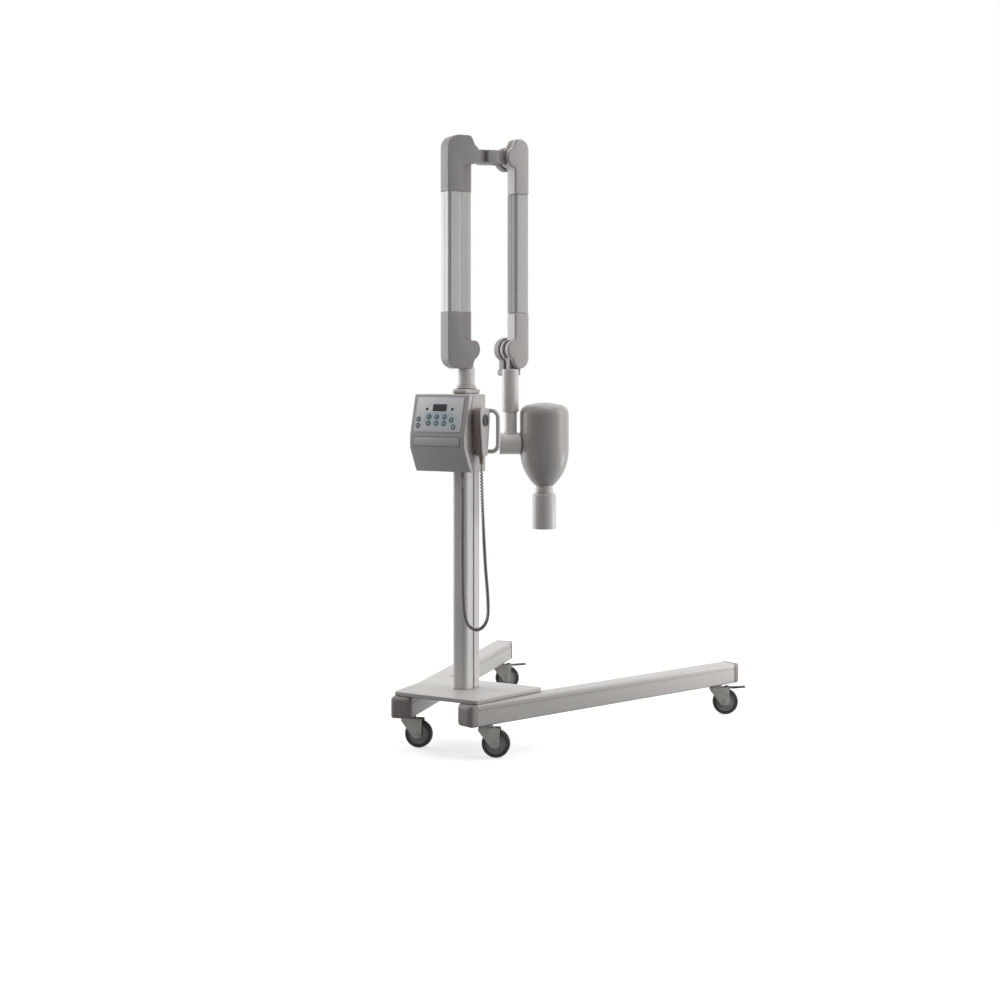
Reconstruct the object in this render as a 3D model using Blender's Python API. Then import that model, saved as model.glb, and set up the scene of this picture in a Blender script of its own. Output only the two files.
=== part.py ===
"""Mobile intraoral dental x-ray unit: wheeled stand, control box, folding spring arms and tube head.

Metres, +Z up. The operator stands on the -Y side, and the two legs spread towards +Y.
"""
import math

import bmesh
import bpy
from mathutils import Matrix, Vector

# Clearances shared by every seat
GAP = 0.0003
RUNNING = 0.0004

# Casters
WHEEL_DIAMETER = 0.080
WHEEL_WIDTH = 0.024
TYRE_THICKNESS = 0.010
HUB_BOSS_RADIUS = 0.009
HUB_WEB_WIDTH = 0.018
AXLE_DIAMETER = 0.008
AXLE_HEAD_RADIUS = 0.0065
AXLE_HEAD_THICKNESS = 0.0025
CASTER_HEIGHT = 0.094
CASTER_TRAIL = 0.030
CASTER_STEM_INSET = 0.083
SWIVEL_RADIUS = 0.021
FORK_WALL = 0.003
FORK_SIDE_GAP = 0.0015
FORK_TOP_GAP = 0.002
FORK_EYE_RADIUS = 0.0115
PEDAL_LENGTH = 0.061
PEDAL_THICKNESS = 0.0035
PEDAL_PIVOT_X = 0.038
PEDAL_PIN_RADIUS = 0.0016
PEDAL_EAR = 0.005
CASTER_HEADINGS = {"rear_left": 18, "rear_right": 24, "front_left": 36, "front_right": 30}

# Legs and their end caps
LEG_WIDTH = 0.060
LEG_HEIGHT = 0.062
LEG_LENGTH = 1.130
LEG_WALL = 0.0035
LEG_CORNER = 0.006
LEG_GROOVE_DEPTH = 0.0015
LEG_GROOVE_HEIGHT = 0.004
LEG_GROOVE_DROP = 0.014
LEG_HALF_ANGLE = 16.6
LEG_REAR_SPREAD = 0.215
CAP_LENGTH = 0.028
CAP_CORNER = 0.014
CAP_SPIGOT = 0.018

# Base plate
PLATE_THICKNESS = 0.012
PLATE_REAR_WIDTH = 0.280
PLATE_FRONT_WIDTH = 0.374
PLATE_REAR_Y = 0.016
PLATE_DEPTH = 0.288
PLATE_CORNER = 0.012

# Column, its cap and the bush that carries the post
COLUMN_WIDTH = 0.050
COLUMN_DEPTH = 0.083
COLUMN_WALL = 0.005
COLUMN_CORNER = 0.009
COLUMN_GROOVE_WIDTH = 0.007
COLUMN_GROOVE_DEPTH = 0.003
COLUMN_BEHIND_PLATE_EDGE = 0.166
COLUMN_TOP = 1.020
CAP_OVERHANG = 0.002
CAP_HEIGHT = 0.014
COLLAR_RADIUS = 0.034
COLLAR_HEIGHT = 0.011
BUSH_LENGTH = 0.070
SPINDLE_RADIUS = 0.014
POST_RADIUS = 0.0245

# Folding arms, in the fold plane: X runs outwards from the post, Y across the arms
ARM_HEADING = 62.0
ARM_SPACING = 0.158
PIVOT_LOW_Z = 1.149
PIVOT_HIGH_Z = 1.712
ARM_THICKNESS = 0.050
END_COVER_REACH = 0.108
END_COVER_TOP = 0.056
KNUCKLE_RADIUS = 0.033
LOWER_ARM_OUTER = 0.072
LOWER_ARM_INNER = -0.024
LOWER_RAIL_INNER = 0.011
RAIL_THICKNESS = 0.034
RAIL_CORNER = 0.010
UPPER_ARM_OUTER = 0.040
UPPER_ARM_INNER = 0.008
LOWER_COVER_CORNER = 0.038
UPPER_COVER_CORNER = 0.030
BEAM_STEP = 0.0015
BEAM_WALL = 0.004
BEAM_GROOVE = 0.003
BEAM_SETBACK = 0.006
COVER_SPIGOT = 0.020
TONGUE_THICKNESS = 0.020
TONGUE_RADIUS = 0.026
TONGUE_HALF_WIDTH = 0.019
TONGUE_SIDE_GAP = 0.0007
PIN_RADIUS = 0.006
PIN_NEAR_DEPTH = 0.020
PIN_FAR_REACH = 0.024
LOWER_TILT = 55.0
UPPER_TILT = 110.0
SWEEP_MARGIN = 3.0
BLOCK_SETBACK = 0.060
BAR_THICKNESS = 0.040
EAR_THICKNESS = 0.030
EAR_RADIUS = 0.036
EAR_GAP = 0.001

# Drop tube, elbow and tube head
TUBE_INSET = 0.010
SLEEVE_RADIUS = 0.0245
SLEEVE_DROP = 0.183
TUBE_RADIUS = 0.019
TUBE_ENGAGEMENT = 0.070
ELBOW_HEADING = 35.0
ELBOW_DROP = 0.093
ELBOW_RADIUS = 0.032
ELBOW_BACK = 0.034
HEAD_REACH = 0.100
HEAD_RADIUS = 0.072
HEAD_PAD_RADIUS = 0.0335
SWIVEL_DISC_THICKNESS = 0.006
TRUNNION_RADIUS = 0.012
TRUNNION_LENGTH = 0.022
HEAD_RISE = 0.120
HEAD_DROP = 0.123
NECK_RADIUS = 0.026
NECK_LENGTH = 0.023
CONE_LENGTH = 0.105
CONE_RADIUS = 0.035
CONE_WALL = 0.0025

# Control box, measured from the column's axis
BOX_WIDTH = 0.186
BOX_WALL = 0.003
BOX_FRONT_DEPTH = 0.020
BOX_EDGE = 0.003
BOX_TOP = 1.020
BOX_BROW_Y = -0.127
BOX_FACE_Y = -0.154
BOX_FACE_HIGH = 0.905
BOX_FACE_LOW = 0.868
BOX_CHIN_Y = -0.122
BOX_BOTTOM = 0.800
PANEL_WIDTH = 0.158
PANEL_MARGIN = 0.009
PANEL_THICKNESS = 0.0012
KEY_RADIUS = 0.0065
KEY_HEIGHT = 0.0008
DISPLAY_WIDTH = 0.046
DISPLAY_HEIGHT = 0.020
DISPLAY_Z = 0.982
NAME_STRIP_WIDTH = 0.152
NAME_STRIP_HEIGHT = 0.024
KEY_PLACES = (
    (-0.033, 0.956), (-0.0065, 0.956), (0.020, 0.956),
    (-0.033, 0.938), (-0.0065, 0.938), (0.020, 0.938),
    (0.044, 0.948), (0.053, 0.928),
    (-0.068, 0.949), (-0.068, 0.931),
)

# Hand switch, its holder and the push handle, on the box's +X side
HOLDER_THICKNESS = 0.008
HANDSET_Y = -0.095
HANDSET_WIDTH = 0.050
HANDSET_BACK_THICKNESS = 0.019
HANDSET_FACE_THICKNESS = 0.005
HANDSET_TOP = 0.982
HANDSET_BOTTOM = 0.846
HANDSET_TAPER = 0.006
BUTTON_WIDTH = 0.026
BUTTON_HEIGHT = 0.034
BUTTON_DROP = 0.035
BUTTON_PROUD = 0.003
BUTTON_TRAVEL = 0.002
HANDLE_Y = -0.058
HANDLE_RADIUS = 0.006
HANDLE_REACH = 0.052
HANDLE_TOP = 0.974
HANDLE_BOTTOM = 0.858
HANDLE_BEND = 0.022

# Curly cord between the hand switch and the box
CORD_RADIUS = 0.0055
RELIEF_LENGTH = 0.022
RELIEF_RADIUS = 0.0065
BOX_RELIEF = (0.040, -0.080)
CORD_ROUTE = (
    (0.114, -0.091, 0.700),
    (0.118, -0.084, 0.550),
    (0.123, -0.077, 0.440),
    (0.119, -0.074, 0.385),
    (0.100, -0.074, 0.357),
    (0.074, -0.075, 0.352),
    (0.051, -0.077, 0.372),
    (0.042, -0.079, 0.430),
    (0.040, -0.080, 0.540),
    (0.040, -0.080, 0.660),
)
CORD_POINTS = 56

# Values that follow from the ones above
LEG_BOTTOM = CASTER_HEIGHT
LEG_TOP = LEG_BOTTOM + LEG_HEIGHT
PLATE_BOTTOM = LEG_TOP + GAP
PLATE_TOP = PLATE_BOTTOM + PLATE_THICKNESS
COLUMN_Y = PLATE_REAR_Y + COLUMN_BEHIND_PLATE_EDGE
COLUMN_BOTTOM = PLATE_TOP + GAP
CAP_BOTTOM = COLUMN_TOP + GAP
COLLAR_TOP = CAP_BOTTOM + CAP_HEIGHT + COLLAR_HEIGHT
WHEEL_RADIUS = WHEEL_DIAMETER / 2
FORK_INSIDE = WHEEL_WIDTH / 2 + FORK_SIDE_GAP
FORK_OUTSIDE = FORK_INSIDE + FORK_WALL
BOX_BACK_Y = -COLUMN_DEPTH / 2 - GAP
BOX_SIDE = BOX_WIDTH / 2
HANDSET_BACK_X = BOX_SIDE + GAP + HOLDER_THICKNESS + GAP
HANDSET_FACE_X = HANDSET_BACK_X + HANDSET_BACK_THICKNESS + GAP
HANDSET_FRONT_X = HANDSET_FACE_X + HANDSET_FACE_THICKNESS
HANDSET_RELIEF_X = HANDSET_BACK_X + HANDSET_BACK_THICKNESS / 2
TONGUE_SLOT = TONGUE_THICKNESS + 2 * TONGUE_SIDE_GAP
SLOT_RADIUS = TONGUE_RADIUS + 0.0015
EAR_FACE = ARM_THICKNESS / 2 + EAR_GAP
HEAD_PAD = math.sqrt(HEAD_RADIUS ** 2 - HEAD_PAD_RADIUS ** 2)
TUBE_X = ARM_SPACING - TUBE_INSET
SLEEVE_BOTTOM = PIVOT_LOW_Z - SLEEVE_DROP
ELBOW_Z = SLEEVE_BOTTOM - ELBOW_DROP
HEAD_TOP = ELBOW_Z + HEAD_RISE
HEAD_NECK_Z = ELBOW_Z - HEAD_DROP
CONE_TOP = HEAD_NECK_Z - NECK_LENGTH
CONE_BOTTOM = CONE_TOP - CONE_LENGTH
BUTTON_Z = HANDSET_TOP - BUTTON_DROP

CORNER_STEPS = 3
ROUND = 24
PIN_STEPS = 14


def material(name, colour, roughness, metallic=0.0):
    """A Principled material with one colour, given as linear red, green and blue."""
    made = bpy.data.materials.new(name)
    made.use_nodes = True
    shader = made.node_tree.nodes["Principled BSDF"]
    shader.inputs["Base Color"].default_value = (*colour, 1.0)
    shader.inputs["Roughness"].default_value = roughness
    shader.inputs["Metallic"].default_value = metallic
    made.diffuse_color = (*colour, 1.0)
    return made


def rounded(corners, steps=CORNER_STEPS):
    """Outline points of a polygon whose corners are (x, y, radius)."""
    points = []
    for index, (x, y, radius) in enumerate(corners):
        here = Vector((x, y))
        if radius <= 0:
            points.append(here)
            continue
        before = (Vector(corners[index - 1][:2]) - here).normalized()
        after = (Vector(corners[(index + 1) % len(corners)][:2]) - here).normalized()
        half = before.angle(after) / 2
        centre = here + (before + after).normalized() * (radius / math.sin(half))
        start = here + before * (radius / math.tan(half)) - centre
        end = here + after * (radius / math.tan(half)) - centre
        first = math.atan2(start.y, start.x)
        sweep = (math.atan2(end.y, end.x) - first + math.pi) % math.tau - math.pi
        for step in range(steps + 1):
            points.append(centre + arc_point(radius, first + sweep * step / steps))
    return points


def arc_point(radius, angle):
    """Point at an angle in radians on a circle about the origin."""
    return Vector((radius * math.cos(angle), radius * math.sin(angle)))


def arc(centre, radius, first, last, steps):
    """Points on an arc between two angles in degrees."""
    turns = (math.radians(first + (last - first) * step / steps) for step in range(steps + 1))
    return [Vector(centre) + arc_point(radius, turn) for turn in turns]


def box_outline(x_low, x_high, y_low, y_high, radius=0.0):
    """Rectangle outline with equal corner radii."""
    corners = ((x_low, y_low), (x_high, y_low), (x_high, y_high), (x_low, y_high))
    return rounded([(x, y, radius) for x, y in corners])


def prism(points, low, high, axis="Z"):
    """Closed prism of an outline, run along X (outline in Y, Z), Y (X, Z) or Z (X, Y)."""
    lay = {
        "X": lambda a, b, t: (t, a, b),
        "Y": lambda a, b, t: (a, t, b),
        "Z": lambda a, b, t: (a, b, t),
    }[axis]
    mesh = bmesh.new()
    face = mesh.faces.new([mesh.verts.new(lay(point[0], point[1], low)) for point in points])
    grown = bmesh.ops.extrude_face_region(mesh, geom=[face])["geom"]
    lifted = [item for item in grown if isinstance(item, bmesh.types.BMVert)]
    bmesh.ops.translate(mesh, verts=lifted, vec=Vector(lay(0, 0, high - low)))
    bmesh.ops.recalc_face_normals(mesh, faces=mesh.faces)
    return mesh


def turned(profile, steps=ROUND, axis="Z"):
    """Solid of revolution of (radius, height) points, about Z or laid along X or Y."""
    mesh = bmesh.new()
    verts = [mesh.verts.new((radius, 0, height)) for radius, height in profile]
    edges = [mesh.edges.new(pair) for pair in zip(verts, verts[1:])]
    if profile[0][0] > 0:
        edges.append(mesh.edges.new((verts[-1], verts[0])))
    bmesh.ops.spin(
        mesh, geom=verts + edges, cent=(0, 0, 0), axis=(0, 0, 1),
        angle=math.tau, steps=steps, use_merge=True,
    )
    bmesh.ops.remove_doubles(mesh, verts=mesh.verts, dist=0.00001)
    bmesh.ops.recalc_face_normals(mesh, faces=mesh.faces)
    if axis == "X":
        bmesh.ops.rotate(mesh, verts=mesh.verts, matrix=Matrix.Rotation(math.pi / 2, 3, "Y"))
    if axis == "Y":
        bmesh.ops.rotate(mesh, verts=mesh.verts, matrix=Matrix.Rotation(-math.pi / 2, 3, "X"))
    return mesh


def cylinder(radius, low, high, steps=ROUND, axis="Z", bevel=0.0):
    """Plain or edge-bevelled cylinder between two heights."""
    profile = [(0, low), (radius - bevel, low)]
    if bevel:
        profile += [(radius, low + bevel), (radius, high - bevel)]
    profile += [(radius - bevel, high), (0, high)]
    return turned(profile, steps, axis)


def moved(mesh, x=0.0, y=0.0, z=0.0):
    """The same mesh, shifted."""
    bmesh.ops.translate(mesh, verts=mesh.verts, vec=(x, y, z))
    return mesh


def empty(name, location=(0, 0, 0), parent=None, heading=0.0):
    """An empty that carries the pieces of one frame or joint."""
    made = bpy.data.objects.new(name, None)
    bpy.context.scene.collection.objects.link(made)
    made.location = location
    made.rotation_euler = (0, 0, math.radians(heading))
    made.parent = parent
    return made


def piece(name, mesh, look, parent, bevel=0.0, bevel_steps=2):
    """A named object made from a bmesh, with an optional edge bevel."""
    data = bpy.data.meshes.new(name)
    mesh.to_mesh(data)
    mesh.free()
    data.materials.append(look)
    data.shade_smooth()
    data.set_sharp_from_angle(angle=math.radians(32))
    made = bpy.data.objects.new(name, data)
    bpy.context.scene.collection.objects.link(made)
    made.parent = parent
    if bevel:
        edge = made.modifiers.new("edge", "BEVEL")
        edge.width = bevel
        edge.segments = bevel_steps
        edge.limit_method = "ANGLE"
        edge.angle_limit = math.radians(40)
    return made


def combine(target, mesh, operation):
    """Adds or cuts a shape with a Boolean modifier and keeps it as a hidden guide."""
    name = f"{target.name}_guide_{len(target.modifiers)}"
    data = bpy.data.meshes.new(name)
    mesh.to_mesh(data)
    mesh.free()
    guide = bpy.data.objects.new(name, data)
    bpy.context.scene.collection.objects.link(guide)
    guide.parent = target.parent
    guide.hide_render = True
    guide.display_type = "WIRE"
    step = target.modifiers.new(name, "BOOLEAN")
    step.operation = operation
    step.solver = "EXACT"
    step.object = guide


def cut(target, mesh):
    combine(target, mesh, "DIFFERENCE")


def fuse(target, mesh):
    combine(target, mesh, "UNION")


def make_looks():
    """The object's plain materials."""
    return {
        "enamel": material("warm_white_enamel", (0.70, 0.68, 0.65), 0.38),
        "arm_plastic": material("arm_cover_plastic", (0.52, 0.50, 0.47), 0.42),
        "alloy": material("satin_alloy", (0.60, 0.59, 0.57), 0.34, 0.35),
        "steel": material("zinc_plated_steel", (0.42, 0.41, 0.39), 0.36, 0.9),
        "cap_plastic": material("leg_cap_plastic", (0.30, 0.28, 0.27), 0.5),
        "dark_plastic": material("charcoal_plastic", (0.045, 0.040, 0.038), 0.45),
        "tyre": material("black_tyre", (0.018, 0.018, 0.018), 0.7),
        "foil": material("keypad_foil", (0.46, 0.50, 0.56), 0.4),
        "glass": material("display_window", (0.006, 0.006, 0.008), 0.12),
        "cord": material("cord_sheath", (0.10, 0.095, 0.09), 0.55),
    }


def fork_mesh(braked):
    """Pressed steel fork: two cheeks, the plate between them and the swivel housing."""
    plate_top = LEG_BOTTOM - 0.0097
    plate_low = WHEEL_DIAMETER + FORK_TOP_GAP
    ear_top = plate_low + PEDAL_EAR + 0.001 if braked else plate_top
    front = CASTER_TRAIL + FORK_EYE_RADIUS
    cheek = rounded([
        (-0.019, plate_top, 0), (0.026, plate_top, 0), (0.032, ear_top, 0.002), (0.043, ear_top, 0.003),
        (front, WHEEL_RADIUS - FORK_EYE_RADIUS, 0.010),
        (CASTER_TRAIL - FORK_EYE_RADIUS, WHEEL_RADIUS - FORK_EYE_RADIUS, 0.010), (-0.019, plate_low - 0.006, 0.006),
    ])
    plate = box_outline(-0.018, CASTER_TRAIL, -FORK_INSIDE - FORK_WALL / 2, FORK_INSIDE + FORK_WALL / 2)
    housing = cylinder(SWIVEL_RADIUS, plate_top - 0.001, LEG_BOTTOM - GAP, 20, bevel=0.0015)
    return prism(cheek, FORK_INSIDE, FORK_OUTSIDE, "Y"), [
        prism(cheek, -FORK_OUTSIDE, -FORK_INSIDE, "Y"), prism(plate, plate_low, plate_top - 0.0003), housing,
    ]


def tyre_mesh():
    """Tyre ring with rounded shoulders."""
    inner = WHEEL_RADIUS - TYRE_THICKNESS
    half = WHEEL_WIDTH / 2
    side = [(inner, -half), (WHEEL_RADIUS - 0.0035, -half), (WHEEL_RADIUS, -half + 0.005)]
    profile = side + [(radius, -height) for radius, height in reversed(side)]
    return turned(profile, 28, "Y")


def hub_mesh():
    """Wheel centre with a recessed web, a rim and a bored boss."""
    rim = WHEEL_RADIUS - TYRE_THICKNESS - GAP
    bore = AXLE_DIAMETER / 2 + GAP
    boss_face = WHEEL_WIDTH / 2 + FORK_SIDE_GAP - 0.0007
    side = [
        (bore, boss_face), (HUB_BOSS_RADIUS, boss_face), (HUB_BOSS_RADIUS, HUB_WEB_WIDTH / 2),
        (rim - 0.004, HUB_WEB_WIDTH / 2), (rim, WHEEL_WIDTH / 2 - 0.002),
    ]
    profile = [(radius, -height) for radius, height in side] + list(reversed(side))
    return turned(profile, 20, "Y")


def build_caster(where, stem, looks, stand, braked):
    """One swivel caster: fork, tyre, hub, axle and, at the front, a brake pedal."""
    swivel = empty(f"caster_{where}", (*stem, 0), stand, CASTER_HEADINGS[where])
    axle_z = WHEEL_RADIUS
    first, others = fork_mesh(braked)
    fork = piece(f"fork_{where}", first, looks["steel"], swivel)
    for other in others:
        fuse(fork, other)
    cut(fork, moved(cylinder(AXLE_DIAMETER / 2 + GAP, -0.03, 0.03, 12, "Y"), CASTER_TRAIL, 0, axle_z))
    wheel = empty(f"wheel_{where}", (CASTER_TRAIL, 0, axle_z), swivel)
    piece(f"tyre_{where}", tyre_mesh(), looks["tyre"], wheel)
    piece(f"hub_{where}", hub_mesh(), looks["cap_plastic"], wheel)
    half = FORK_OUTSIDE + GAP
    head = half + AXLE_HEAD_THICKNESS
    bolt = [
        (0, -head), (AXLE_HEAD_RADIUS, -head), (AXLE_HEAD_RADIUS, -half), (AXLE_DIAMETER / 2, -half),
        (AXLE_DIAMETER / 2, half), (AXLE_HEAD_RADIUS, half), (AXLE_HEAD_RADIUS, head), (0, head),
    ]
    axle = moved(turned(bolt, 12, "Y"), CASTER_TRAIL, 0, axle_z)
    piece(f"axle_{where}", axle, looks["steel"], swivel)
    if braked:
        build_pedal(where, fork, looks, swivel)


def build_pedal(where, fork, looks, swivel):
    """Brake pedal hinged between the fork's ears, with a ribbed tread beyond the wheel."""
    pivot_z = WHEEL_DIAMETER + FORK_TOP_GAP + PEDAL_THICKNESS / 2
    pivot = empty(f"brake_{where}", (PEDAL_PIVOT_X, 0, pivot_z), swivel)
    half = PEDAL_THICKNESS / 2
    side = rounded([
        (-0.005, -half, 0.0012), (0.020, -half, 0.004), (PEDAL_LENGTH - 0.006, 0.001, 0.0012),
        (PEDAL_LENGTH - 0.006, 0.001 + PEDAL_THICKNESS, 0.0012), (0.018, half, 0.004), (-0.005, half, 0.0012),
    ])
    narrow = FORK_INSIDE - RUNNING
    pedal = piece(f"brake_pedal_{where}", prism(side, -narrow, narrow, "Y"), looks["dark_plastic"], pivot)
    fuse(pedal, cylinder(PEDAL_PIN_RADIUS, -FORK_OUTSIDE, FORK_OUTSIDE, 8, "Y"))
    hole = cylinder(PEDAL_PIN_RADIUS + GAP, -FORK_OUTSIDE - 0.002, FORK_OUTSIDE + 0.002, 8, "Y")
    cut(fork, moved(hole, PEDAL_PIVOT_X, 0, pivot_z))


def leg_outline():
    """Leg extrusion section with a fine groove along each side."""
    half = LEG_WIDTH / 2
    high = LEG_TOP - LEG_GROOVE_DROP
    low = high - LEG_GROOVE_HEIGHT
    return rounded([
        (-half, LEG_BOTTOM, LEG_CORNER), (half, LEG_BOTTOM, LEG_CORNER),
        (half, low, 0), (half - LEG_GROOVE_DEPTH, low, 0), (half - LEG_GROOVE_DEPTH, high, 0), (half, high, 0),
        (half, LEG_TOP, LEG_CORNER), (-half, LEG_TOP, LEG_CORNER),
        (-half, high, 0), (LEG_GROOVE_DEPTH - half, high, 0), (LEG_GROOVE_DEPTH - half, low, 0), (-half, low, 0),
    ], 3)


def build_leg(side, name, looks, stand):
    """One leg: its extrusion, the plastic caps at both ends, and the two caster places."""
    frame = empty(f"leg_frame_{name}", (side * LEG_REAR_SPREAD / 2, 0, 0), stand, -side * LEG_HALF_ANGLE)
    leg = piece(f"leg_{name}", prism(leg_outline(), CAP_LENGTH + GAP, LEG_LENGTH - CAP_LENGTH - GAP, "Y"),
                looks["enamel"], frame)
    half = LEG_WIDTH / 2
    room = half - LEG_WALL
    cut(leg, prism(box_outline(-room, room, LEG_BOTTOM + LEG_WALL, LEG_TOP - LEG_WALL), 0, LEG_LENGTH, "Y"))
    snug = room - GAP
    plug = box_outline(-snug, snug, LEG_BOTTOM + LEG_WALL + GAP, LEG_TOP - LEG_WALL - GAP)
    ends = {
        "rear": ([(-half, 0, CAP_CORNER), (half, 0, CAP_CORNER), (half, CAP_LENGTH, 0), (-half, CAP_LENGTH, 0)],
                 (CAP_LENGTH / 2, CAP_LENGTH + CAP_SPIGOT)),
        "front": ([(-half, LEG_LENGTH - CAP_LENGTH, 0), (half, LEG_LENGTH - CAP_LENGTH, 0),
                   (half, LEG_LENGTH, CAP_CORNER), (-half, LEG_LENGTH, CAP_CORNER)],
                  (LEG_LENGTH - CAP_LENGTH - CAP_SPIGOT, LEG_LENGTH - CAP_LENGTH / 2)),
    }
    for end, (plan, spigot) in ends.items():
        cap = piece(f"leg_cap_{end}_{name}", prism(rounded(plan, 5), LEG_BOTTOM, LEG_TOP), looks["cap_plastic"],
                    frame, 0.004)
        fuse(cap, prism(plug, *spigot, "Y"))


def leg_point(side, along):
    """Plan position on a leg's centre line, measured from its rear end."""
    turn = math.radians(LEG_HALF_ANGLE)
    return side * (LEG_REAR_SPREAD / 2 + along * math.sin(turn)), along * math.cos(turn)


def build_base(looks, stand):
    """Legs, casters and the steel plate that ties the legs together."""
    for side, name in ((-1, "left"), (1, "right")):
        build_leg(side, name, looks, stand)
        build_caster(f"rear_{name}", leg_point(side, CASTER_STEM_INSET), looks, stand, False)
        build_caster(f"front_{name}", leg_point(side, LEG_LENGTH - CASTER_STEM_INSET), looks, stand, True)
    rear = PLATE_REAR_WIDTH / 2
    front = PLATE_FRONT_WIDTH / 2
    far = PLATE_REAR_Y + PLATE_DEPTH
    plan = rounded([
        (-rear, PLATE_REAR_Y, PLATE_CORNER), (rear, PLATE_REAR_Y, PLATE_CORNER),
        (front, far, PLATE_CORNER), (-front, far, PLATE_CORNER),
    ])
    piece("base_plate", prism(plan, PLATE_BOTTOM, PLATE_TOP), looks["enamel"], stand, 0.0015)


def column_outline(inset=0.0, grooves=True):
    """Column section: a rounded rectangle with a groove down the middle of each wide side."""
    x = COLUMN_WIDTH / 2 - inset
    y = COLUMN_DEPTH / 2 - inset
    radius = max(COLUMN_CORNER - inset, 0.001)
    if not grooves:
        return box_outline(-x, x, -y, y, radius)
    slot = COLUMN_GROOVE_WIDTH / 2
    deep = x - COLUMN_GROOVE_DEPTH
    return rounded([
        (-x, -y, radius), (x, -y, radius), (x, -slot, 0), (deep, -slot, 0), (deep, slot, 0), (x, slot, 0),
        (x, y, radius), (-x, y, radius), (-x, slot, 0), (-deep, slot, 0), (-deep, -slot, 0), (-x, -slot, 0),
    ])


def build_column(looks, axis):
    """Hollow column, its moulded cap and the bush inside it."""
    column = piece("column", prism(column_outline(), COLUMN_BOTTOM, COLUMN_TOP), looks["alloy"], axis)
    cut(column, prism(column_outline(COLUMN_WALL, False), 0, COLUMN_TOP + 0.1))
    outline = column_outline(-CAP_OVERHANG, False)
    cap = piece("column_cap", prism(outline, CAP_BOTTOM, CAP_BOTTOM + CAP_HEIGHT), looks["arm_plastic"], axis, 0.006)
    top = CAP_BOTTOM + CAP_HEIGHT
    collar = [
        (0, top - 0.002), (COLLAR_RADIUS - 0.008, top - 0.002), (COLLAR_RADIUS - 0.008, top),
        (COLLAR_RADIUS - 0.004, top + 0.002), (POST_RADIUS + 0.0025, COLLAR_TOP - 0.001),
        (POST_RADIUS + 0.001, COLLAR_TOP), (0, COLLAR_TOP),
    ]
    fuse(cap, turned(collar))
    cut(cap, cylinder(SPINDLE_RADIUS + GAP, CAP_BOTTOM - 0.01, COLLAR_TOP + 0.01, 24))
    bush = piece("post_bush", prism(column_outline(COLUMN_WALL + GAP, False), COLUMN_TOP - BUSH_LENGTH, COLUMN_TOP),
                 looks["dark_plastic"], axis)
    cut(bush, cylinder(SPINDLE_RADIUS + GAP, COLUMN_TOP - BUSH_LENGTH - 0.01, COLUMN_TOP + 0.01, 24))


def front_profile(back=0.0, trim=0.0):
    """Side view (y, z) of the box front from brow to chin, moved back and trimmed at both ends."""
    brow = Vector((BOX_BROW_Y, BOX_TOP))
    high = Vector((BOX_FACE_Y, BOX_FACE_HIGH))
    low = Vector((BOX_FACE_Y, BOX_FACE_LOW))
    chin = Vector((BOX_CHIN_Y, BOX_BOTTOM))
    brow = brow.lerp(high, trim / (brow.y - high.y))
    chin = chin.lerp(low, trim / (low.y - chin.y))
    return [point + Vector((back, 0)) for point in (brow, high, low, chin)]


def build_box(looks, axis):
    """Control box: a tub against the column and a shaped front with its keypad."""
    seam = BOX_FRONT_DEPTH + GAP
    tub = front_profile(seam) + [Vector((BOX_BACK_Y, BOX_BOTTOM)), Vector((BOX_BACK_Y, BOX_TOP))]
    rear = piece("box_rear_shell", prism(tub, -BOX_SIDE, BOX_SIDE, "X"), looks["enamel"], axis, BOX_EDGE)
    back = BOX_BACK_Y - BOX_WALL
    room = front_profile(-0.02, BOX_WALL)
    room += [Vector((back, BOX_BOTTOM + BOX_WALL)), Vector((back, BOX_TOP - BOX_WALL))]
    cut(rear, prism(room, -BOX_SIDE + BOX_WALL, BOX_SIDE - BOX_WALL, "X"))
    shell = front_profile() + list(reversed(front_profile(BOX_FRONT_DEPTH)))
    front = piece("box_front_shell", prism(shell, -BOX_SIDE, BOX_SIDE, "X"), looks["enamel"], axis, BOX_EDGE)
    inner = front_profile(BOX_WALL, BOX_WALL) + list(reversed(front_profile(BOX_FRONT_DEPTH * 2, BOX_WALL)))
    cut(front, prism(inner, -BOX_SIDE + BOX_WALL, BOX_SIDE - BOX_WALL, "X"))
    build_keypad(looks, axis)
    strip_z = (BOX_FACE_HIGH + BOX_FACE_LOW) / 2
    strip = box_outline(-NAME_STRIP_WIDTH / 2, NAME_STRIP_WIDTH / 2, strip_z - NAME_STRIP_HEIGHT / 2,
                        strip_z + NAME_STRIP_HEIGHT / 2, 0.002)
    outer = BOX_FACE_Y - GAP
    piece("name_strip", prism(strip, outer - PANEL_THICKNESS, outer, "Y"), looks["foil"], axis)


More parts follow.
